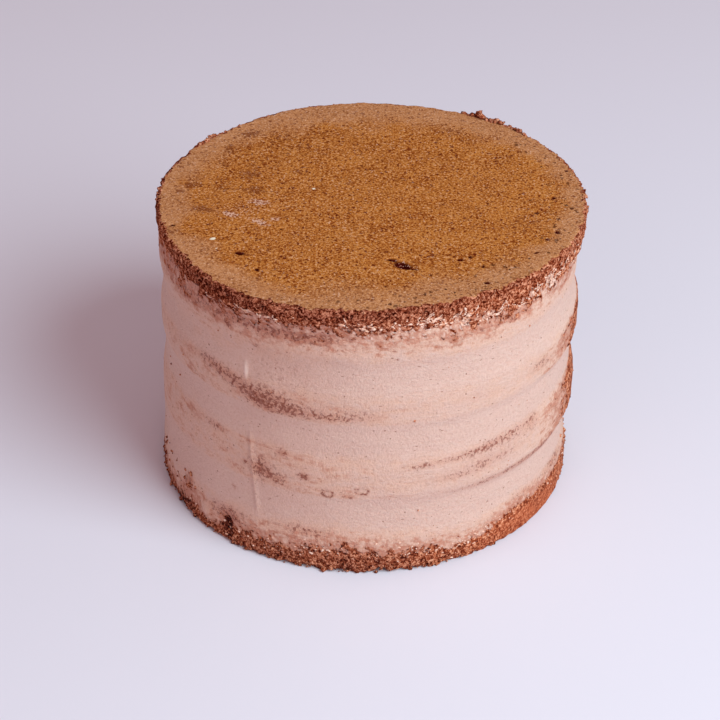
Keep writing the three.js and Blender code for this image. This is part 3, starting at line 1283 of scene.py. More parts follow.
@dataclass
class TopSponge:
    """The top sponge: a flat grained face, a crisp lobed rim, and crumb down to the cream below."""

    form: CakeForm
    grid_side: int = 225
    face_inset: float = 6.0
    corner: float = 1.2
    side_rows: int = 36
    hidden_rows: int = 4
    hidden_height: float = 5.0
    swells: tuple[Grain, ...] = each(Grain, (0.30, 34.0, 41), (0.12, 7.0, 43))
    face_grain: Grain = Grain(0.16, 1.6, 47, 1)
    face_pores: Pitting = Pitting(0.4, 3.2, 53, 0.45, 0.9)
    ring_wander: Grain = Grain(8.0, 18.0, 59, 3)
    belt_wander: Grain = Grain(0.35, 12.0, 167)
    rim_grain: Grain = Grain(0.6, 5.0, 171, 3)
    eaten_front: Stretch = Stretch(1.3, -116, 26)
    eaten_grain: Grain = Grain(1.5, 3.4, 61, 3)
    belt_inset: float = 7.5
    belt_width: float = 7.0
    ring_line: Line = Line(
        (-180, -150, -120, -90, -60, -30, 0, 30, 60, 90, 120, 150),
        (14, 13, 14, 21, 20, 14, 10, 13, 22, 25, 22, 17),
    )
    pits: tuple[Oval, ...] = each(
        Oval,
        (13.9, -53.0, 8.0, 5.0, -38, 2.4), (9.4, -49.6, 4.0, 1.6, 8, 1.0),
        (18.6, -56.8, 4.0, 1.3, -14, 0.8), (-51.5, -45.3, 4.2, 2.8, -20, 1.3),
        (77.5, -26.3, 2.2, 2.8, 0, 1.0), (73.0, -32.5, 2.0, 2.2, 40, 0.9),
        (70.0, -10.0, 2.4, 1.8, 15, 0.8), (78.0, 3.0, 2.0, 2.6, 0, 0.8),
        (37.0, -49.0, 2.6, 2.2, 10, 1.1), (41.0, -46.5, 2.0, 1.8, 0, 0.8),
        (47.0, -67.0, 2.2, 2.6, 60, 0.9), (50.0, -52.5, 2.4, 1.3, -20, 0.8),
        (-80.0, -24.0, 2.4, 1.8, 0, 0.8), (-35.5, -26.0, 1.8, 1.6, 0, 0.7),
        (-44.0, -58.0, 2.0, 2.4, 30, 0.9), (5.0, -9.0, 1.6, 1.6, 0, 0.6),
        (46.0, -54.0, 1.8, 2.2, 0, 0.8), (68.0, -43.0, 2.2, 1.8, 30, 0.8),
        (25.0, -61.0, 1.8, 1.6, 0, 0.7), (7.0, -70.0, 2.0, 1.4, 0, 0.6),
        (19.0, 15.0, 1.6, 1.6, 0, 0.6), (85.0, 27.0, 2.2, 2.0, 0, 0.7),
        (68.0, 1.0, 2.0, 1.6, 20, 0.6), (-32.0, -7.0, 1.6, 1.4, 0, 0.5),
    )
    blots: tuple[Oval, ...] = each(
        Oval,
        (-74.0, 10.0, 7.0, 6.0, 0, 1.0), (-79.0, 5.0, 4.5, 4.0, 0, 0.8),
        (-50.0, 20.0, 9.0, 8.0, 20, 0.8), (-49.0, 29.0, 5.0, 8.0, 0, 0.5),
        (-48.0, 6.0, 11.0, 9.0, 0, 0.7), (-53.0, 58.0, 8.0, 7.0, 0, 0.7),
        (-30.0, 23.0, 6.0, 7.0, 0, 0.6), (-38.0, 54.0, 10.0, 6.0, 10, 0.6),
        (-29.0, 46.0, 9.0, 5.0, 0, 0.6), (-68.0, -11.0, 10.0, 5.0, -15, 1.0),
        (-60.0, 44.0, 6.0, 5.0, 0, 0.6), (-81.0, -30.0, 5.0, 6.0, 0, 0.7),
        (-62.0, 8.0, 12.0, 7.0, 0, 0.4), (-8.0, 13.0, 5.0, 6.0, 0, 0.5),
        (-82.0, 30.0, 4.0, 12.0, 25, 0.6), (34.0, 62.0, 14.0, 6.0, 0, 0.4),
        (62.0, 39.0, 6.0, 5.0, 20, 0.45), (64.0, -20.0, 20.0, 14.0, 60, 0.3),
    )
    smears: tuple[Oval, ...] = each(
        Oval,
        (-45.0, -4.0, 9.0, 5.0, -15, 0.9), (-57.0, -15.0, 8.0, 4.0, -30, 0.9),
        (-44.0, -21.0, 10.0, 3.5, -35, 0.9), (-38.0, -18.0, 5.0, 4.0, 20, 0.7),
        (-50.0, -12.0, 18.0, 14.0, 0, 0.25),
    )
    flakes: tuple[Oval, ...] = each(
        Oval,
        (-63.0, -35.0, 3.0, 2.0, 30, 1.0), (-23.0, 8.0, 2.0, 1.6, 0, 0.8),
        (-61.0, -43.0, 1.8, 1.5, 0, 0.6), (-45.0, 77.0, 2.0, 1.5, 0, 0.6),
    )

    def face_height(self, x: Floats, y: Floats, points: Floats) -> Floats:
        """Height of the baked face over its plane: soft swells, fine grain, pores and the pits.

        Args:
            x: Places from the stack's axis, in mm.
            y: The same along y.
            points: The same places in space, for the noise.

        Returns:
            Height in mm.
        """
        swell = sum(layer.at(points) for layer in self.swells)
        holes = sum(pit.strength * pit.weight(x, y) for pit in self.pits)
        return swell + self.face_grain.at(points) - self.face_pores.at(points) - holes

    def ring_weight(self, angle: Floats, inset: Floats, points: Floats) -> Floats:
        """How much a place belongs to the smooth ring along the rim, which is uneven in width."""
        width = self.ring_line.at(angle) + self.ring_wander.at(points)
        return 1 - smooth_step(inset, 0.35 * width, 1.25 * width)

    def pore_weight(self, angle: Floats, inset: Floats, points: Floats) -> Floats:
        """How many open pores a place has: a belt near the rim, most of them at the right."""
        belt = np.exp(-(((inset - self.belt_inset) / self.belt_width) ** 2))
        right = 0.12 + 0.88 * smooth_step(np.cos(angle + np.radians(28)), 0.0, 0.8)
        return np.clip(belt * right + self.belt_wander.at(points), 0, 1)

    def spotted(self, ovals: Iterable[Oval], x: Floats, y: Floats) -> Floats:
        """How far each place lies in a set of ovals, from 0 to 1, each by its strength up to 1."""
        return np.clip(sum(min(1.0, oval.strength) * oval.weight(x, y) for oval in ovals), 0, 1)

    def side_profile(self) -> tuple[Floats, Floats, Floats, Floats]:
        """The line from the face's edge over the corner and down the side.

        Returns:
            For each row its inset from the rim, its drop below the top, and its outward and
            upward direction.
        """
        face = np.linspace(self.face_inset, self.corner, 8)[1:]
        bend = np.radians(np.linspace(90, 0, 5)[1:])
        depth = self.form.cake_top - self.form.top_sponge
        down = np.linspace(self.corner, depth - self.hidden_height, self.side_rows + 1)[1:]
        hidden = np.linspace(depth - self.hidden_height, depth, self.hidden_rows + 1)[1:]
        straight = np.concatenate([down, hidden])
        inset = np.concatenate([face, self.corner * (1 - np.cos(bend)), np.zeros_like(straight)])
        drop = np.concatenate([np.zeros_like(face), self.corner * (1 - np.sin(bend)), straight])
        out = np.concatenate([np.zeros_like(face), np.cos(bend), np.ones_like(straight)])
        up = np.concatenate([np.ones_like(face), np.sin(bend), np.zeros_like(straight)])
        return inset, drop, out, up

    def build(self) -> bpy.types.Object:
        """Builds the sponge: the squashed grid for the face, joined to the rows of the side.

        Returns:
            The object.
        """
        form = self.form
        angle, share, quads, edge = disc_grid(self.grid_side)
        first = self.grid_side**2
        columns = len(edge)
        row_inset, row_drop, row_out, row_up = self.side_profile()
        around = np.tile(angle[edge], len(row_inset))
        inset = np.repeat(row_inset, columns)
        side = SidePoints(form, around, form.cake_top - np.repeat(row_drop, columns))
        smooth = side.crumb_radius() - side.crumb - inset
        jitter = self.rim_grain.at(side.points) * (1 - smooth_step(inset, 1.0, 4.0))
        radius = np.concatenate([share * (form.rim(angle) - self.face_inset), smooth])
        everywhere = np.concatenate([angle, around])
        tall = np.concatenate([np.full(first, form.cake_top), side.height])
        flat = form.place(everywhere, radius, np.full_like(radius, form.cake_top))
        x = radius * np.cos(everywhere)
        y = radius * np.sin(everywhere)
        from_rim = form.rim(everywhere) - radius
        out = np.concatenate([np.zeros(first), np.repeat(row_out, columns)])
        up = np.concatenate([np.ones(first), np.repeat(row_up, columns)])
        crumb = np.concatenate([np.zeros(first), side.crumb])
        push = crumb * out + np.concatenate([np.zeros(first), jitter])
        lift = self.face_height(x, y, flat) * up
        near_rim = 1 - smooth_step(from_rim, 0.0, 45.0)
        near_rim = near_rim * smooth_step(tall, form.cake_top - 8, form.cake_top)
        tilt = form.rim_tilt(everywhere) * near_rim
        points = form.place(everywhere, radius + push, tall + lift + tilt)

        numbers = first + np.arange(len(around)).reshape(-1, columns)
        rings = np.concatenate([edge[None, :], numbers])
        middle = np.array([[form.axis[0], form.axis[1], form.top_sponge]])
        eaten = 0.9 - 0.4 * np.cos(around) + self.eaten_front.at(around)
        eaten = eaten + self.eaten_grain.at(flat[first:])
        reach = inset - np.repeat(row_drop, columns)
        crust = np.concatenate([np.ones(first), smooth_step(reach, eaten - 0.5, eaten + 0.5)])
        attributes = {
            "crust": crust,
            "ring": self.ring_weight(everywhere, from_rim, flat),
            "pores": self.pore_weight(everywhere, from_rim, flat),
            # The pit weight also paints the pits near-black in the crust's finish: painted shade.
            "pit": self.spotted(self.pits, x, y),
            "blot": self.spotted(self.blots, x, y),
            "flake": self.spotted(self.flakes, x, y),
            "smear": self.spotted(self.smears, x, y),
            "relief": crumb,
            "film": np.concatenate([np.full(first, -2.0), side.cover()]),
            "tone": np.concatenate([np.zeros(first), side.tone]),
        }
        surface = Surface(
            "top_sponge",
            np.concatenate([points, middle]),
            np.concatenate([quads, skin(rings, False)]),
            fan(rings[-1], len(points)),
            {name: np.append(values, 0.0) for name, values in attributes.items()},
        )
        made = surface.to_object(Finish.CRUST.material())
        return dress(made, "baked_crust", ["sponge_top"])


@dataclass
class SideSponge:
    """A sponge whose side is bare or lies close behind the coat: crumb relief on a closed drum."""

    form: CakeForm
    name: str
    node: str
    low: float
    high: float
    columns: int = 760
    row_height: float = 0.75
    ragged_foot: float = 0.0
    notch: Stretch = Stretch(2.4, -85, 1.2)
    teeth: Grain = Grain(1.0, 4.5, 67, 3, 1.0, 0.0)
    ruffle: Grain = Grain(1.0, 4.0, 71, 3)
    sole_inset: float = 4.0

    def foot_shape(self, angle: Floats, height: Floats, points: Floats) -> tuple[Floats, Floats]:
        """The torn lower edge: teeth of noise that lift it, calm at the front right, and one bite.

        Args:
            angle: Angles in radians.
            height: Heights in mm.
            points: The same places in space, in mm, for the noise.

        Returns:
            How far each point is lifted and how far it is pushed out.
        """
        near = 1 - smooth_step(height - self.low, 0.0, 3.0)
        calm = 1 - 0.85 * self.form.pressed(angle, height)
        teeth = np.clip(self.teeth.at(points) + 0.3, 0, 1)
        bite = self.notch.at(angle)
        out = near * (0.9 * calm * self.ruffle.at(points) - 1.2 * np.minimum(bite, 1))
        return near * (self.ragged_foot * calm * teeth + bite), out

    def build(self) -> bpy.types.Object:
        """Builds the drum: cap, side rows and underside, from the top down.

        Returns:
            The object.
        """
        form = self.form
        rows = max(4, int(round((self.high - self.low) / self.row_height)) + 1)
        ring_angle = np.linspace(0, 2 * np.pi, self.columns, endpoint=False)
        heights = np.linspace(self.high, self.low, rows)
        side = SidePoints(form, np.tile(ring_angle, rows), np.repeat(heights, self.columns))
        ends = np.minimum(side.height - self.low, self.high - side.height)
        dent = laid(form.dents, side.angle, side.height)
        radius = side.crumb_radius() - 0.7 * (1 - smooth_step(ends, 0.0, 1.2))
        lift = np.zeros_like(radius)
        if self.ragged_foot:
            lift, out = self.foot_shape(side.angle, side.height, side.points)
            radius = radius + out
        wall = form.place(side.angle, radius, side.height + lift)
        cap = form.place(ring_angle, radius[: self.columns] * 0.5, np.full(self.columns, self.high))
        sole_radius = radius[-self.columns :] - self.sole_inset
        sole = form.place(ring_angle, sole_radius, np.full(self.columns, self.low))
        middles = np.array([[*form.axis, self.high], [*form.axis, self.low]])
        numbers = np.arange(self.columns * (rows + 2)).reshape(-1, self.columns)
        count = numbers.size
        blank = np.zeros(self.columns)
        attributes = {
            # Painted shade: in the dents the relief and the tone are lowered, which darkens their
            # crumb. The lumps, with a negative strength, get a raised relief and so a lighter
            # colour.
            "relief": side.crumb - dent * 0.6,
            "film": side.cover() - np.abs(dent) * 0.5,
            "tone": side.tone - np.maximum(dent, 0) * 0.4,
            "pressed": side.pressed,
        }
        surface = Surface(
            self.name,
            np.concatenate([cap, wall, sole, middles]),
            skin(numbers, False),
            np.concatenate([fan(numbers[0], count)[:, ::-1], fan(numbers[-1], count + 1)]),
            {
                name: np.concatenate([blank, values, blank - (name == "film"), [0.0, 0.0]])
                for name, values in attributes.items()
            },
        )
        made = surface.to_object(Finish.CRUMB.material())
        return dress(made, "chocolate_sponge", [self.node])


# ---- Cream ----


@dataclass
class CreamCoat:
    """The thin scraped coat: smooth, stepped under each sponge, worn where the crumb is near."""

    form: CakeForm
    columns: int = 790
    rows: int = 118
    inner_depth: float = 6.0
    seam_facing: float = -121.0
    seam_low: float = 17.0
    seam_high: float = 65.0
    seam_lean: float = 0.06
    seam_proud: float = 0.55
    over_base: float = 3.0
    over_top_sponge: float = 19.0
    swipes: Grain = Grain(0.10, 4.0, 73, 2, 0.25, 1.0)
    swells: Grain = Grain(0.22, 26.0, 79)
    worn_grain: Grain = Grain(1.0, 1.8, 83)
    burr_grain: Grain = Grain(1.0, 2.2, 89)
    patches: tuple[Patch, ...] = each(
        Patch,
        (-117.5, 79.5, 7.0, 4.0, 0.8, -0.10), (-111, 77.0, 6.0, 2.2, 0.5, -0.10),
        (-104, 79.5, 7.0, 4.0, 0.12), (-113, 93, 21, 24, 0.29), (-116, 43, 20, 26, 0.27),
        (-131, 12, 9, 3.0, 0.45), (-129, 84, 6.5, 3.2, 0.5, -0.25), (-137, 86, 6, 3.0, 0.36, -0.2),
        (-135, 55, 3.5, 1.8, 0.45), (-99, 76.5, 8, 1.6, 0.4, -0.05), (-118.8, 44.5, 2.6, 4.0, 0.62),
        (-112.5, 54.8, 1.7, 1.3, 0.8), (-114.5, 41.8, 2.4, 1.8, 0.55), (-106.2, 46, 1.5, 1.5, 0.85),
        (-99.8, 39.0, 1.4, 1.7, 0.62, 0, True), (-90.7, 41.6, 1.8, 1.6, 0.55, 0, True),
        (-94.3, 38.4, 1.8, 1.1, 0.72), (-84, 38.4, 4.0, 0.9, 0.4), (-76, 52.5, 5, 1.6, 0.46, 0.06),
        (-64, 53.5, 8, 2.2, 0.44, 0.05), (-55, 54.5, 5, 2.4, 0.46, 0.04), (-47, 55, 5, 3.4, 0.47),
        # The marks at 36.4 and 36.8 mm lay a brown line along the lower step: crumb worn through at
        # its edge, and painted shade under it.
        (-39, 54.5, 4, 4.5, 0.5), (-54, 47, 14, 4.5, 0.41), (-48, 36.4, 22, 2.0, 0.55),
        (-26, 36.8, 14, 2.4, 0.7), (-66, 44, 8, 2.0, 0.3), (-90, 79, 9, 3.0, 0.3),
        (-60, 80, 12, 2.5, 0.25), (-36, 81, 7, 3.5, 0.45), (-49, 111, 1.8, 1.1, 0.8),
        (-128.5, 109, 1.0, 1.4, 0.75), (-120, 103.5, 1.2, 0.7, 0.6, -0.3),
        (-60, 112, 14, 1.6, 0.45),
        (-118, 113, 16, 3.0, 0.5), (-104, 113.5, 9, 2.6, 0.4), (-148, 112, 16, 5.0, 0.5),
        (-105, 18, 9, 3.0, 0.45), (-130, 16, 9, 3.0, 0.4), (-147.5, 17, 2.2, 3.4, 0.8),
        (-124, 45, 0.8, 0.8, 0.7), (-128, 29, 0.8, 0.8, 0.7), (-150, 85, 8, 4.0, 0.25),
        (-145, 54, 7, 4.0, 0.25), (-40, 18, 9, 3.0, 0.4), (-22, 18, 9, 3.6, 0.5),
        (40, 83, 9, 3.5, 0.6), (75, 50, 9, 4.0, 0.6), (118, 79, 8, 4.0, 0.7),
        (150, 48, 7, 4.5, 0.6), (100, 20, 12, 3.0, 0.5),
        (160, 113, 14, 3.0, 0.5),
    )
    curl: Patch = Patch(-123.2, 90.5, 0.6, 3.2, 1.6, -0.35)
    burrs: tuple[Patch, ...] = each(
        Patch,
        (-76, 117, 22, 4.0, 1.0), (-119, 116, 5, 3.0, 0.8), (-34, 119, 9, 6.0, 0.9),
        (-14, 119, 9, 6.0, 0.5), (120, 116, 30, 4.0, 0.6), (-62, 13, 12, 9.0, 0.9),
        (-100, 12, 16, 6.0, 0.4), (60, 12, 30, 6.0, 0.5),
    )

    def row_heights(self) -> Floats:
        """Heights of the rows from the top down, closest at the steps and near both edges.

        Returns:
            Heights in mm.
        """
        form = self.form
        low = form.base + self.over_base
        high = form.top_sponge + self.over_top_sponge
        fine = np.linspace(low, high, 2000)
        density = np.ones_like(fine)
        for step in (form.lower_sponge, form.upper_sponge):
            density += 1.2 * np.exp(-(((fine - step) / 2.0) ** 2))
        density += 0.7 * np.exp(-(((fine - form.base - 11) / 7.0) ** 2))
        density += 0.8 * np.exp(-(((fine - form.top_sponge - 12) / 7.0) ** 2))
        reached = np.cumsum(density)
        reached = (reached - reached[0]) / (reached[-1] - reached[0])
        return np.interp(np.linspace(1, 0, self.rows), reached, fine)

    def seam(self, angle: Floats, height: Floats) -> Floats:
        """The ridge where the scraper stopped, leaning as it rises."""
        lean = self.seam_facing - self.seam_lean * (height - 37.0)
        start = smooth_step(height, self.seam_low, self.seam_low + 8)
        end = 1 - smooth_step(height, self.seam_high - 10, self.seam_high)
        return self.seam_proud * start * end * np.exp(-((turned(angle, 0.0) - lean) ** 2) / 0.35)

    def build(self) -> bpy.types.Object:
        """Builds the coat: the outside from the top down, then the hidden inside back up.

        Returns:
            The object.
        """
        form = self.form
        ring_angle = np.linspace(0, 2 * np.pi, self.columns, endpoint=False)
        heights = self.row_heights()
        side = SidePoints(form, np.tile(ring_angle, self.rows), np.repeat(heights, self.columns))
        cover = side.cover()
        scraped = self.swipes.at(side.points) + self.swells.at(side.points)
        marks = np.clip(laid(self.patches, side.angle, side.height), 0, 1)
        burr_zone = np.clip(laid(self.burrs, side.angle, side.height) + 0.12, 0, 1)
        burr = burr_zone * np.exp(-(((cover - 0.08) / 0.08) ** 2))
        thin = 1 - smooth_step(cover, 0.2, 0.9)
        rough = (0.2 * marks + 0.25 * thin) * self.worn_grain.at(side.points)
        rough = rough + 0.3 * burr_zone * thin * self.burr_grain.at(side.points)
        burr = np.clip(burr + self.curl.weight(side.angle, side.height), 0, 1)
        seam = self.seam(side.angle, side.height)
        outer = side.coat + scraped * (1 - thin) + rough + 0.4 * burr + seam
        outside = form.place(side.angle, outer, side.height)
        inner_rows = np.array([heights[-1], form.lower_sponge, form.upper_sponge, heights[0]])
        inner_around = np.tile(ring_angle, len(inner_rows))
        inner = np.full_like(inner_around, form.ring_radius - self.inner_depth)
        inside = form.place(inner_around, inner, np.repeat(inner_rows, self.columns))
        numbers = np.arange(len(outside) + len(inside)).reshape(-1, self.columns)
        blank = np.zeros(len(inside))
        attributes = {
            "film": cover,
            "marks": marks,
            "burr": burr,
            "tone": side.tone,
            "relief": side.crumb,
            "pressed": side.pressed,
        }
        surface = Surface(
            "scraped_coat",
            np.concatenate([outside, inside]),
            skin(numbers, True),
            attributes={
                name: np.concatenate([values, blank]) for name, values in attributes.items()
            },
        )
        made = surface.to_object(Finish.CREAM.material())
        return dress(made, "mocha_cream", ["cream_coat"])


@dataclass
class Fillings:
    """The three cream fillings: the CAD nodes stay, and take the cream's finish."""

    nodes: tuple[str, ...] = ("filling_lower", "filling_middle", "filling_upper")

    def dress(self) -> None:
        """Gives each filling its finish."""
        for name in self.nodes:
            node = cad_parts[name]
            node.data.materials.clear()
            node.data.materials.append(Finish.FLECK.material())
            log.info("%s: dressed", name)


# ---- Loose things ----


@dataclass
class Lumps:
    """Many small lumps in one mesh: each a ball of few faces, pushed in and out at random."""

    name: str
    finish: Finish
    slot: str
    seed: int
    around: int = 7
    rings: int = 4
    points: list[Floats] = field(default_factory=list)
    sizes: list[Floats] = field(default_factory=list)
    tones: list[Floats] = field(default_factory=list)

    def add(self, points: Floats, sizes: Floats, tone: Floats | float = 0.5) -> None:
        """Adds lumps.

        Args:
            points: Middles in mm, three to a row.
            sizes: Radii in mm along the round of the cake, outward and up, three to a row.
            tone: How light each is, from 0 to 1, with painted light and shade from the side
                included.
        """
        self.points.append(points)
        self.sizes.append(sizes)
        self.tones.append(np.broadcast_to(tone, len(points)))

    def unit_ball(self) -> tuple[Floats, Ints, Ints]:
        """A ball of few faces: rings of points between two poles.

        Returns:
            Points, quads and triangles.
        """
        polar = np.linspace(0, np.pi, self.rings + 2)[1:-1]
        turn = np.linspace(0, 2 * np.pi, self.around, endpoint=False)
        flat = np.sin(polar)
        ring = np.stack(
            [
                np.outer(flat, np.cos(turn)),
                np.outer(flat, np.sin(turn)),
                np.outer(np.cos(polar), np.ones(self.around)),
            ],
            axis=-1,
        ).reshape(-1, 3)
        points = np.concatenate([ring, [[0, 0, 1.0], [0, 0, -1.0]]])
        numbers = np.arange(self.rings * self.around).reshape(self.rings, self.around)
        top = len(ring)
        triangles = np.concatenate([fan(numbers[0], top)[:, ::-1], fan(numbers[-1], top + 1)])
        return points, skin(numbers, False), triangles

    def frames(self, middles: Floats, rng: np.random.Generator, loose: float) -> Floats:
        """A frame for each lump: along the round of the cake, outward and up, then turned a bit.

        Args:
            middles: The lumps' places.
            rng: The source of chance.
            loose: How far each frame is turned at random, from 0 for not at all.

        Returns:
            One 3 by 3 matrix a lump, with its axes as columns.
        """
        facing = np.arctan2(middles[:, 1], middles[:, 0])
        zero = np.zeros_like(facing)
        along = np.stack([-np.sin(facing), np.cos(facing), zero], axis=1)
        out = np.stack([np.cos(facing), np.sin(facing), zero], axis=1)
        up = np.stack([zero, zero, zero + 1], axis=1)
        square = np.stack([along, out, up], axis=2)
        turned_frames, upper = np.linalg.qr(square + loose * rng.normal(size=square.shape))
        signs = np.sign(np.einsum("kii->ki", upper))
        turned_frames = turned_frames * signs[:, None, :]
        return turned_frames * np.sign(np.linalg.det(turned_frames))[:, None, None]

    def build(self, floor: float, loose: float) -> bpy.types.Object:
        """Builds all lumps as one mesh, and none of it below the floor.

        Args:
            floor: Lowest height in mm.
            loose: How far each lump is turned at random.

        Returns:
            The object.
        """
        rng = np.random.default_rng(self.seed)
        middles = np.concatenate(self.points)
        sizes = np.concatenate(self.sizes)
        ball, quads, triangles = self.unit_ball()
        count = len(middles)
        push = rng.uniform(0.68, 1.25, size=(count, len(ball), 1))
        shaped = ball[None, :, :] * push * sizes[:, None, :]
        placed = np.einsum("kij,kvj->kvi", self.frames(middles, rng, loose), shaped)
        placed = placed + middles[:, None, :]
        placed[..., 2] = np.maximum(placed[..., 2], floor)
        offsets = (np.arange(count) * len(ball))[:, None, None]
        relief = np.repeat(rng.uniform(-0.4, 1.0, size=count), len(ball))
        tone = np.repeat(np.concatenate(self.tones), len(ball))
        surface = Surface(
            self.name,
            placed.reshape(-1, 3),
            (quads[None] + offsets).reshape(-1, 4),
            (triangles[None] + offsets).reshape(-1, 3),
            {"relief": relief, "tone": tone, "film": np.full_like(tone, -2.0)},
        )
        made = surface.to_object(self.finish.material())
        return dress(made, self.slot)


@dataclass
class Scatter:
    """Where the loose crumbs and the flecks of cream lie.

    Each table starts with a facing and a spread in degrees, and a count. Then come, for the foot's
    crumbs, the lowest and highest place and the smallest and largest radius; for the rim's crumbs,
    the largest radius and the height of their heap; for the top's flecks, how far they rise over
    the coat's edge; and for the threads, their lowest and highest start over it.
    """

    form: CakeForm
    seed: int = 20
    all_round: float = 180
    foot_crumbs: tuple[tuple[float, ...], ...] = (
        (0, 180, 650, 0.3, 4.5, 0.3, 1.0),
        (0, 180, 350, 2.0, 12.0, 0.25, 0.7),
        (-158, 8, 40, 5.0, 20.0, 0.35, 1.2),
        (-4, 7, 40, 2.0, 20.0, 0.35, 1.1),
        (-98, 20, 110, 0.3, 5.0, 0.4, 1.4),
    )
    band_crumbs: int = 600
    rim_crumbs: tuple[tuple[float, ...], ...] = (
        (0, 180, 330, 0.7, 0.0),
        (57, 2, 140, 1.7, 3.0),
        (51, 3, 90, 1.3, 1.7),
        (44, 2, 50, 1.2, 1.4),
        (143, 3, 80, 1.3, 2.0),
        (178, 4, 26, 1.0, 0.0),
        (4, 5, 30, 1.1, 0.0),
        (30, 9, 40, 1.1, 0.0),
        (-152, 9, 20, 0.9, 0.0),
    )
    coat_crumbs: int = 130
    threads: tuple[tuple[float, ...], ...] = (
        (-71, 4, 9, -0.5, 3.0),
        (-61, 4, 11, -0.5, 4.5),
        (-49, 5, 11, -0.5, 4.5),
        (-35, 4, 13, -0.5, 6.5),
        (-26, 4, 10, -0.5, 6.5),
        (-86, 8, 9, -0.8, 1.2),
        (-119, 3, 5, -0.5, 2.0),
        (60, 60, 26, -0.5, 3.0),
    )
    links: int = 10
    stride: float = 0.4
    top_flecks: tuple[tuple[float, ...], ...] = (
        (-84, 9, 60, 2.0),
        (-66, 6, 70, 3.5),
        (-55, 9, 50, 3.0),
        (-34, 4, 60, 7.0),
        (-18, 8, 50, 6.0),
        (-119, 4, 24, 2.0),
        (0, 180, 150, 2.0),
    )
    foot_flecks: tuple[tuple[float, ...], ...] = ((0, 180, 260), (-62, 7, 90), (-100, 16, 90))

    def sizes(
        self, rng: np.random.Generator, count: int, small: float, large: float, long: float = 1.0
    ) -> Floats:
        """Random radii, mostly small: small + (large - small) * u^3, drawn out along the round."""
        size = small + (large - small) * rng.uniform(size=(count, 1)) ** 3
        return size * rng.uniform(0.7, 1.15, size=(count, 3)) * np.array([long, 1.0, 1.0])

    def on_side(self, angle: Floats, height: Floats, out: Any) -> tuple[Floats, Floats]:
        """Points off the side by a distance, and the crumb's tone there, with painted light and
        shade.
        """
        side = SidePoints(self.form, angle, height)
        radius = side.coat + np.maximum(0.0, -side.cover())
        return self.form.place(angle, radius + out, height), side.tone

    def spread(self, rng: np.random.Generator, facing: float, spread: float, count: int) -> Floats:
        """Angles in radians: all round for a spread of 180 degrees, else a bell about facing."""
        if spread >= self.all_round:
            return rng.uniform(-np.pi, np.pi, count)
        return np.radians(rng.normal(facing, spread, count))

    def crumbs(self) -> bpy.types.Object:
        """Crumbs at the foot, in both bare bands, along the rim and here and there on the coat.

        Those at the foot's smooth stretch, at the front right, are pressed in.
        """
        form = self.form
        rng = np.random.default_rng(self.seed)
        lumps = Lumps("loose_crumbs", Finish.CRUMB, "chocolate_sponge", self.seed)

        for facing, spread, count, low, high, small, large in self.foot_crumbs:
            angle = self.spread(rng, facing, spread, count)
            height = form.base + rng.uniform(low, high, count)
            bury = 0.9 * form.pressed(angle, height)
            points, tone = self.on_side(angle, height, rng.uniform(-0.6, 0.1, count) - bury)
            lumps.add(points, self.sizes(rng, count, small, large), tone)

        count = self.band_crumbs
        angle = self.spread(rng, 0, self.all_round, count)
        height = form.top_edge(angle) + rng.uniform(1.0, 9.0, count)
        height = np.minimum(height, form.cake_top - 2.5)
        points, tone = self.on_side(angle, height, rng.uniform(-0.45, -0.1, count))
        lumps.add(points, self.sizes(rng, count, 0.25, 0.7), tone)

        for facing, spread, count, large, pile in self.rim_crumbs:
            angle = self.spread(rng, facing, spread, count)
            inset = rng.uniform(-0.4, 1.6, count)
            heap = pile * bell(angle, facing, spread) * rng.uniform(size=count) ** 1.5
            height = form.cake_top + form.rim_tilt(angle) - 0.9 + 0.6 * inset
            height = height + rng.uniform(-0.6, 0.2, count) + heap
            points = form.place(angle, form.rim(angle) - inset, height)
            lumps.add(points, self.sizes(rng, count, 0.25, large), rng.uniform(0.4, 1.0, count))

        count = self.coat_crumbs
        angle = self.spread(rng, 0, self.all_round, count)
        height = rng.uniform(form.base + 14.0, form.top_sponge + 10.0, count)
        points, tone = self.on_side(angle, height, rng.uniform(-0.1, 0.15, count))
        lumps.add(points, self.sizes(rng, count, 0.18, 0.55), tone)
        return lumps.build(form.base, 1.5)

    def strings(self, lumps: Lumps, rng: np.random.Generator) -> None:
        """Adds torn threads of cream, drawn up over the crumb: each is a chain of touching bits.

        Args:
            lumps: The mesh they join.
            rng: The source of chance.
        """
        form = self.form
        for facing, spread, count, low, high in self.threads:
            angle = self.spread(rng, facing, spread, count)[:, None]
            height = form.top_edge(angle) + rng.uniform(low, high, (count, 1))
            heading = rng.uniform(-0.4, 1.3, (count, 1))
            heading = heading + np.cumsum(rng.normal(0.0, 0.4, (count, self.links)), axis=1)
            angle = angle + self.stride / form.ring_radius * np.cumsum(np.cos(heading), axis=1)
            height = height + self.stride * np.cumsum(np.sin(heading), axis=1)
            height = np.minimum(height, form.cake_top - 1.5)
            points, _ = self.on_side(angle.ravel(), height.ravel(), np.full(angle.size, -0.06))
            lumps.add(points, self.sizes(rng, angle.size, 0.17, 0.42, 1.5))

    def flecks(self) -> bpy.types.Object:
        """Bits and torn threads of cream caught in the bare crumb along the coat's two edges."""
        form = self.form
        rng = np.random.default_rng(self.seed + 1)
        lumps = Lumps("cream_flecks", Finish.FLECK, "mocha_cream", self.seed + 1)
        for facing, spread, count, rise in self.top_flecks:
            angle = self.spread(rng, facing, spread, count)
            height = form.top_edge(angle) + rng.uniform(-0.8, rise, count)
            points, _ = self.on_side(angle, height, rng.uniform(-0.25, 0.0, count))
            lumps.add(points, self.sizes(rng, count, 0.15, 0.6, 2.8))
        for facing, spread, count in self.foot_flecks:
            angle = self.spread(rng, facing, spread, count)
            height = form.foot_edge(angle) + rng.normal(0.0, 2.2, count)
            points, _ = self.on_side(angle, height, rng.uniform(-0.25, 0.0, count))
            lumps.add(points, self.sizes(rng, count, 0.15, 0.5, 2.2))
        self.strings(lumps, rng)
        return lumps.build(form.base, 0.35)


# ---- The studio ----


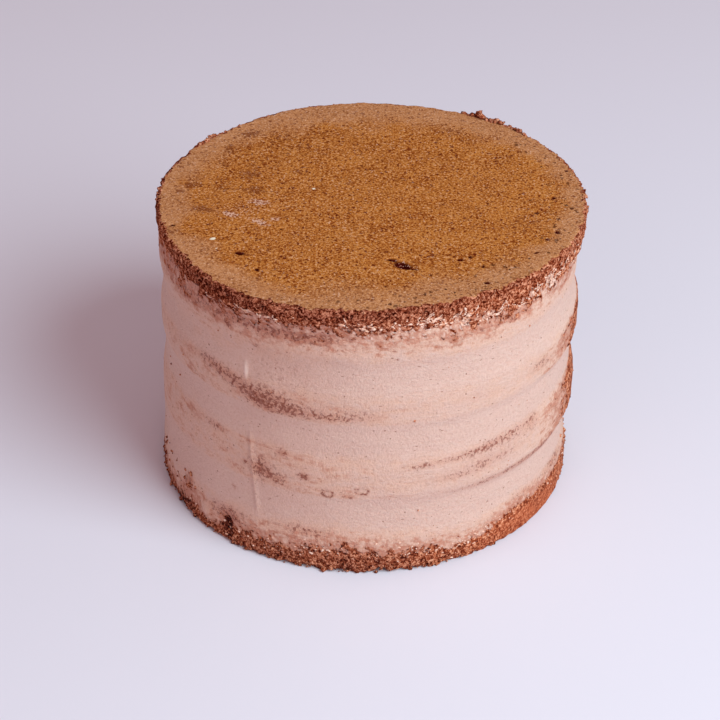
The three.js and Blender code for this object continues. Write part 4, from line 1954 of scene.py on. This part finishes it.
@dataclass
class Studio:
    """A pale floor, soft light from the right, and a camera that looks down on the cake."""

    form: CakeForm
    floor_half: float = 6000.0
    camera_place: tuple[float, float, float] = (-2.6, -808.5, 576.0)
    pitch: float = 33.19
    roll: float = 0.69
    lens: float = 110.0
    floor_gap: float = 0.05
    aim_height: float = 0.07
    key_place: tuple[float, float, float] = (0.99, -0.90, 1.15)
    key_width: float = 1.3
    key_power: float = 28.6
    key_colour: tuple[float, float, float] = (0.955, 1.235, 1.28)
    fill_place: tuple[float, float, float] = (-0.75, -1.35, 0.9)
    fill_width: float = 1.2
    fill_power: float = 2.1
    fill_colour: tuple[float, float, float] = (1.0, 0.72, 0.71)
    sky: Colour = (1.0, 0.772, 0.785, 1.0)
    sky_strength: float = 0.42

    def floor(self) -> None:
        """A square floor just under the cake."""
        half = self.floor_half
        level = self.form.base - self.floor_gap
        signs = ((-1, -1), (1, -1), (1, 1), (-1, 1))
        corners = np.array([(x * half, y * half, level) for x, y in signs])
        surface = Surface("studio_floor", corners, np.array([[0, 1, 2, 3]]))
        surface.to_object(Finish.FLOOR.material())

    def lamp(
        self, name: str, place: Sequence[float], size: float, power: float, colour: Sequence[float]
    ) -> None:
        """A round soft light that faces the cake's middle.

        Args:
            name: The light's name.
            place: Its place in metres.
            size: Its width in metres.
            power: Watts.
            colour: Its tint.
        """
        light = bpy.data.lights.new(name, "AREA")
        light.shape = "DISK"
        light.size = size
        light.energy = power
        light.color = colour
        lamp = bpy.data.objects.new(name, light)
        lamp.location = place
        aim = Vector((0, 0, self.aim_height)) - Vector(place)
        lamp.rotation_euler = aim.to_track_quat("-Z", "Y").to_euler()
        bpy.context.scene.collection.objects.link(lamp)

    def camera(self) -> None:
        """The camera, by its place about the stack's axis and its pitch and roll."""
        axis_x, axis_y = self.form.axis
        x, y, z = self.camera_place
        pitch = np.radians(self.pitch)
        roll = np.radians(self.roll)
        level = Vector((1, 0, 0))
        upright = Vector((0, np.sin(pitch), np.cos(pitch)))
        ahead = Vector((0, np.cos(pitch), -np.sin(pitch)))
        right = level * np.cos(roll) + upright * np.sin(roll)
        top = upright * np.cos(roll) - level * np.sin(roll)
        turn = Matrix((right, top, -ahead)).transposed().to_4x4()
        data = bpy.data.cameras.new("camera")
        data.sensor_width = 36.0
        data.lens = self.lens
        data.clip_end = 50.0
        camera = bpy.data.objects.new("camera", data)
        camera.matrix_world = Matrix.Translation(Vector((x + axis_x, y + axis_y, z)) * MM) @ turn
        bpy.context.scene.collection.objects.link(camera)
        bpy.context.scene.camera = camera

    def build(self) -> None:
        """Sets the floor, the lights, the sky and the camera."""
        self.floor()
        self.lamp("key", self.key_place, self.key_width, self.key_power, self.key_colour)
        self.lamp("fill", self.fill_place, self.fill_width, self.fill_power, self.fill_colour)
        world = bpy.data.worlds.new("studio")
        world.use_nodes = True
        background = world.node_tree.nodes["Background"]
        background.inputs["Color"].default_value = self.sky
        background.inputs["Strength"].default_value = self.sky_strength
        scene = bpy.context.scene
        scene.world = world
        scene.view_settings.view_transform = "Standard"
        self.camera()


def main() -> None:
    """Builds the studio and the cake, from the top down."""
    logging.basicConfig(level=logging.INFO, format="%(name)s: %(message)s")
    form = CakeForm()
    Studio(form).build()
    TopSponge(form).build()
    SideSponge(form, "upper_sponge", "sponge_upper", form.upper_sponge, form.upper_filling).build()
    SideSponge(form, "lower_sponge", "sponge_lower", form.lower_sponge, form.middle_filling).build()
    SideSponge(
        form, "bottom_sponge", "sponge_bottom", form.base, form.lower_filling, ragged_foot=1.4
    ).build()
    CreamCoat(form).build()
    Fillings().dress()
    scatter = Scatter(form)
    scatter.crumbs()
    scatter.flecks()


if __name__ == "__main__":
    main()
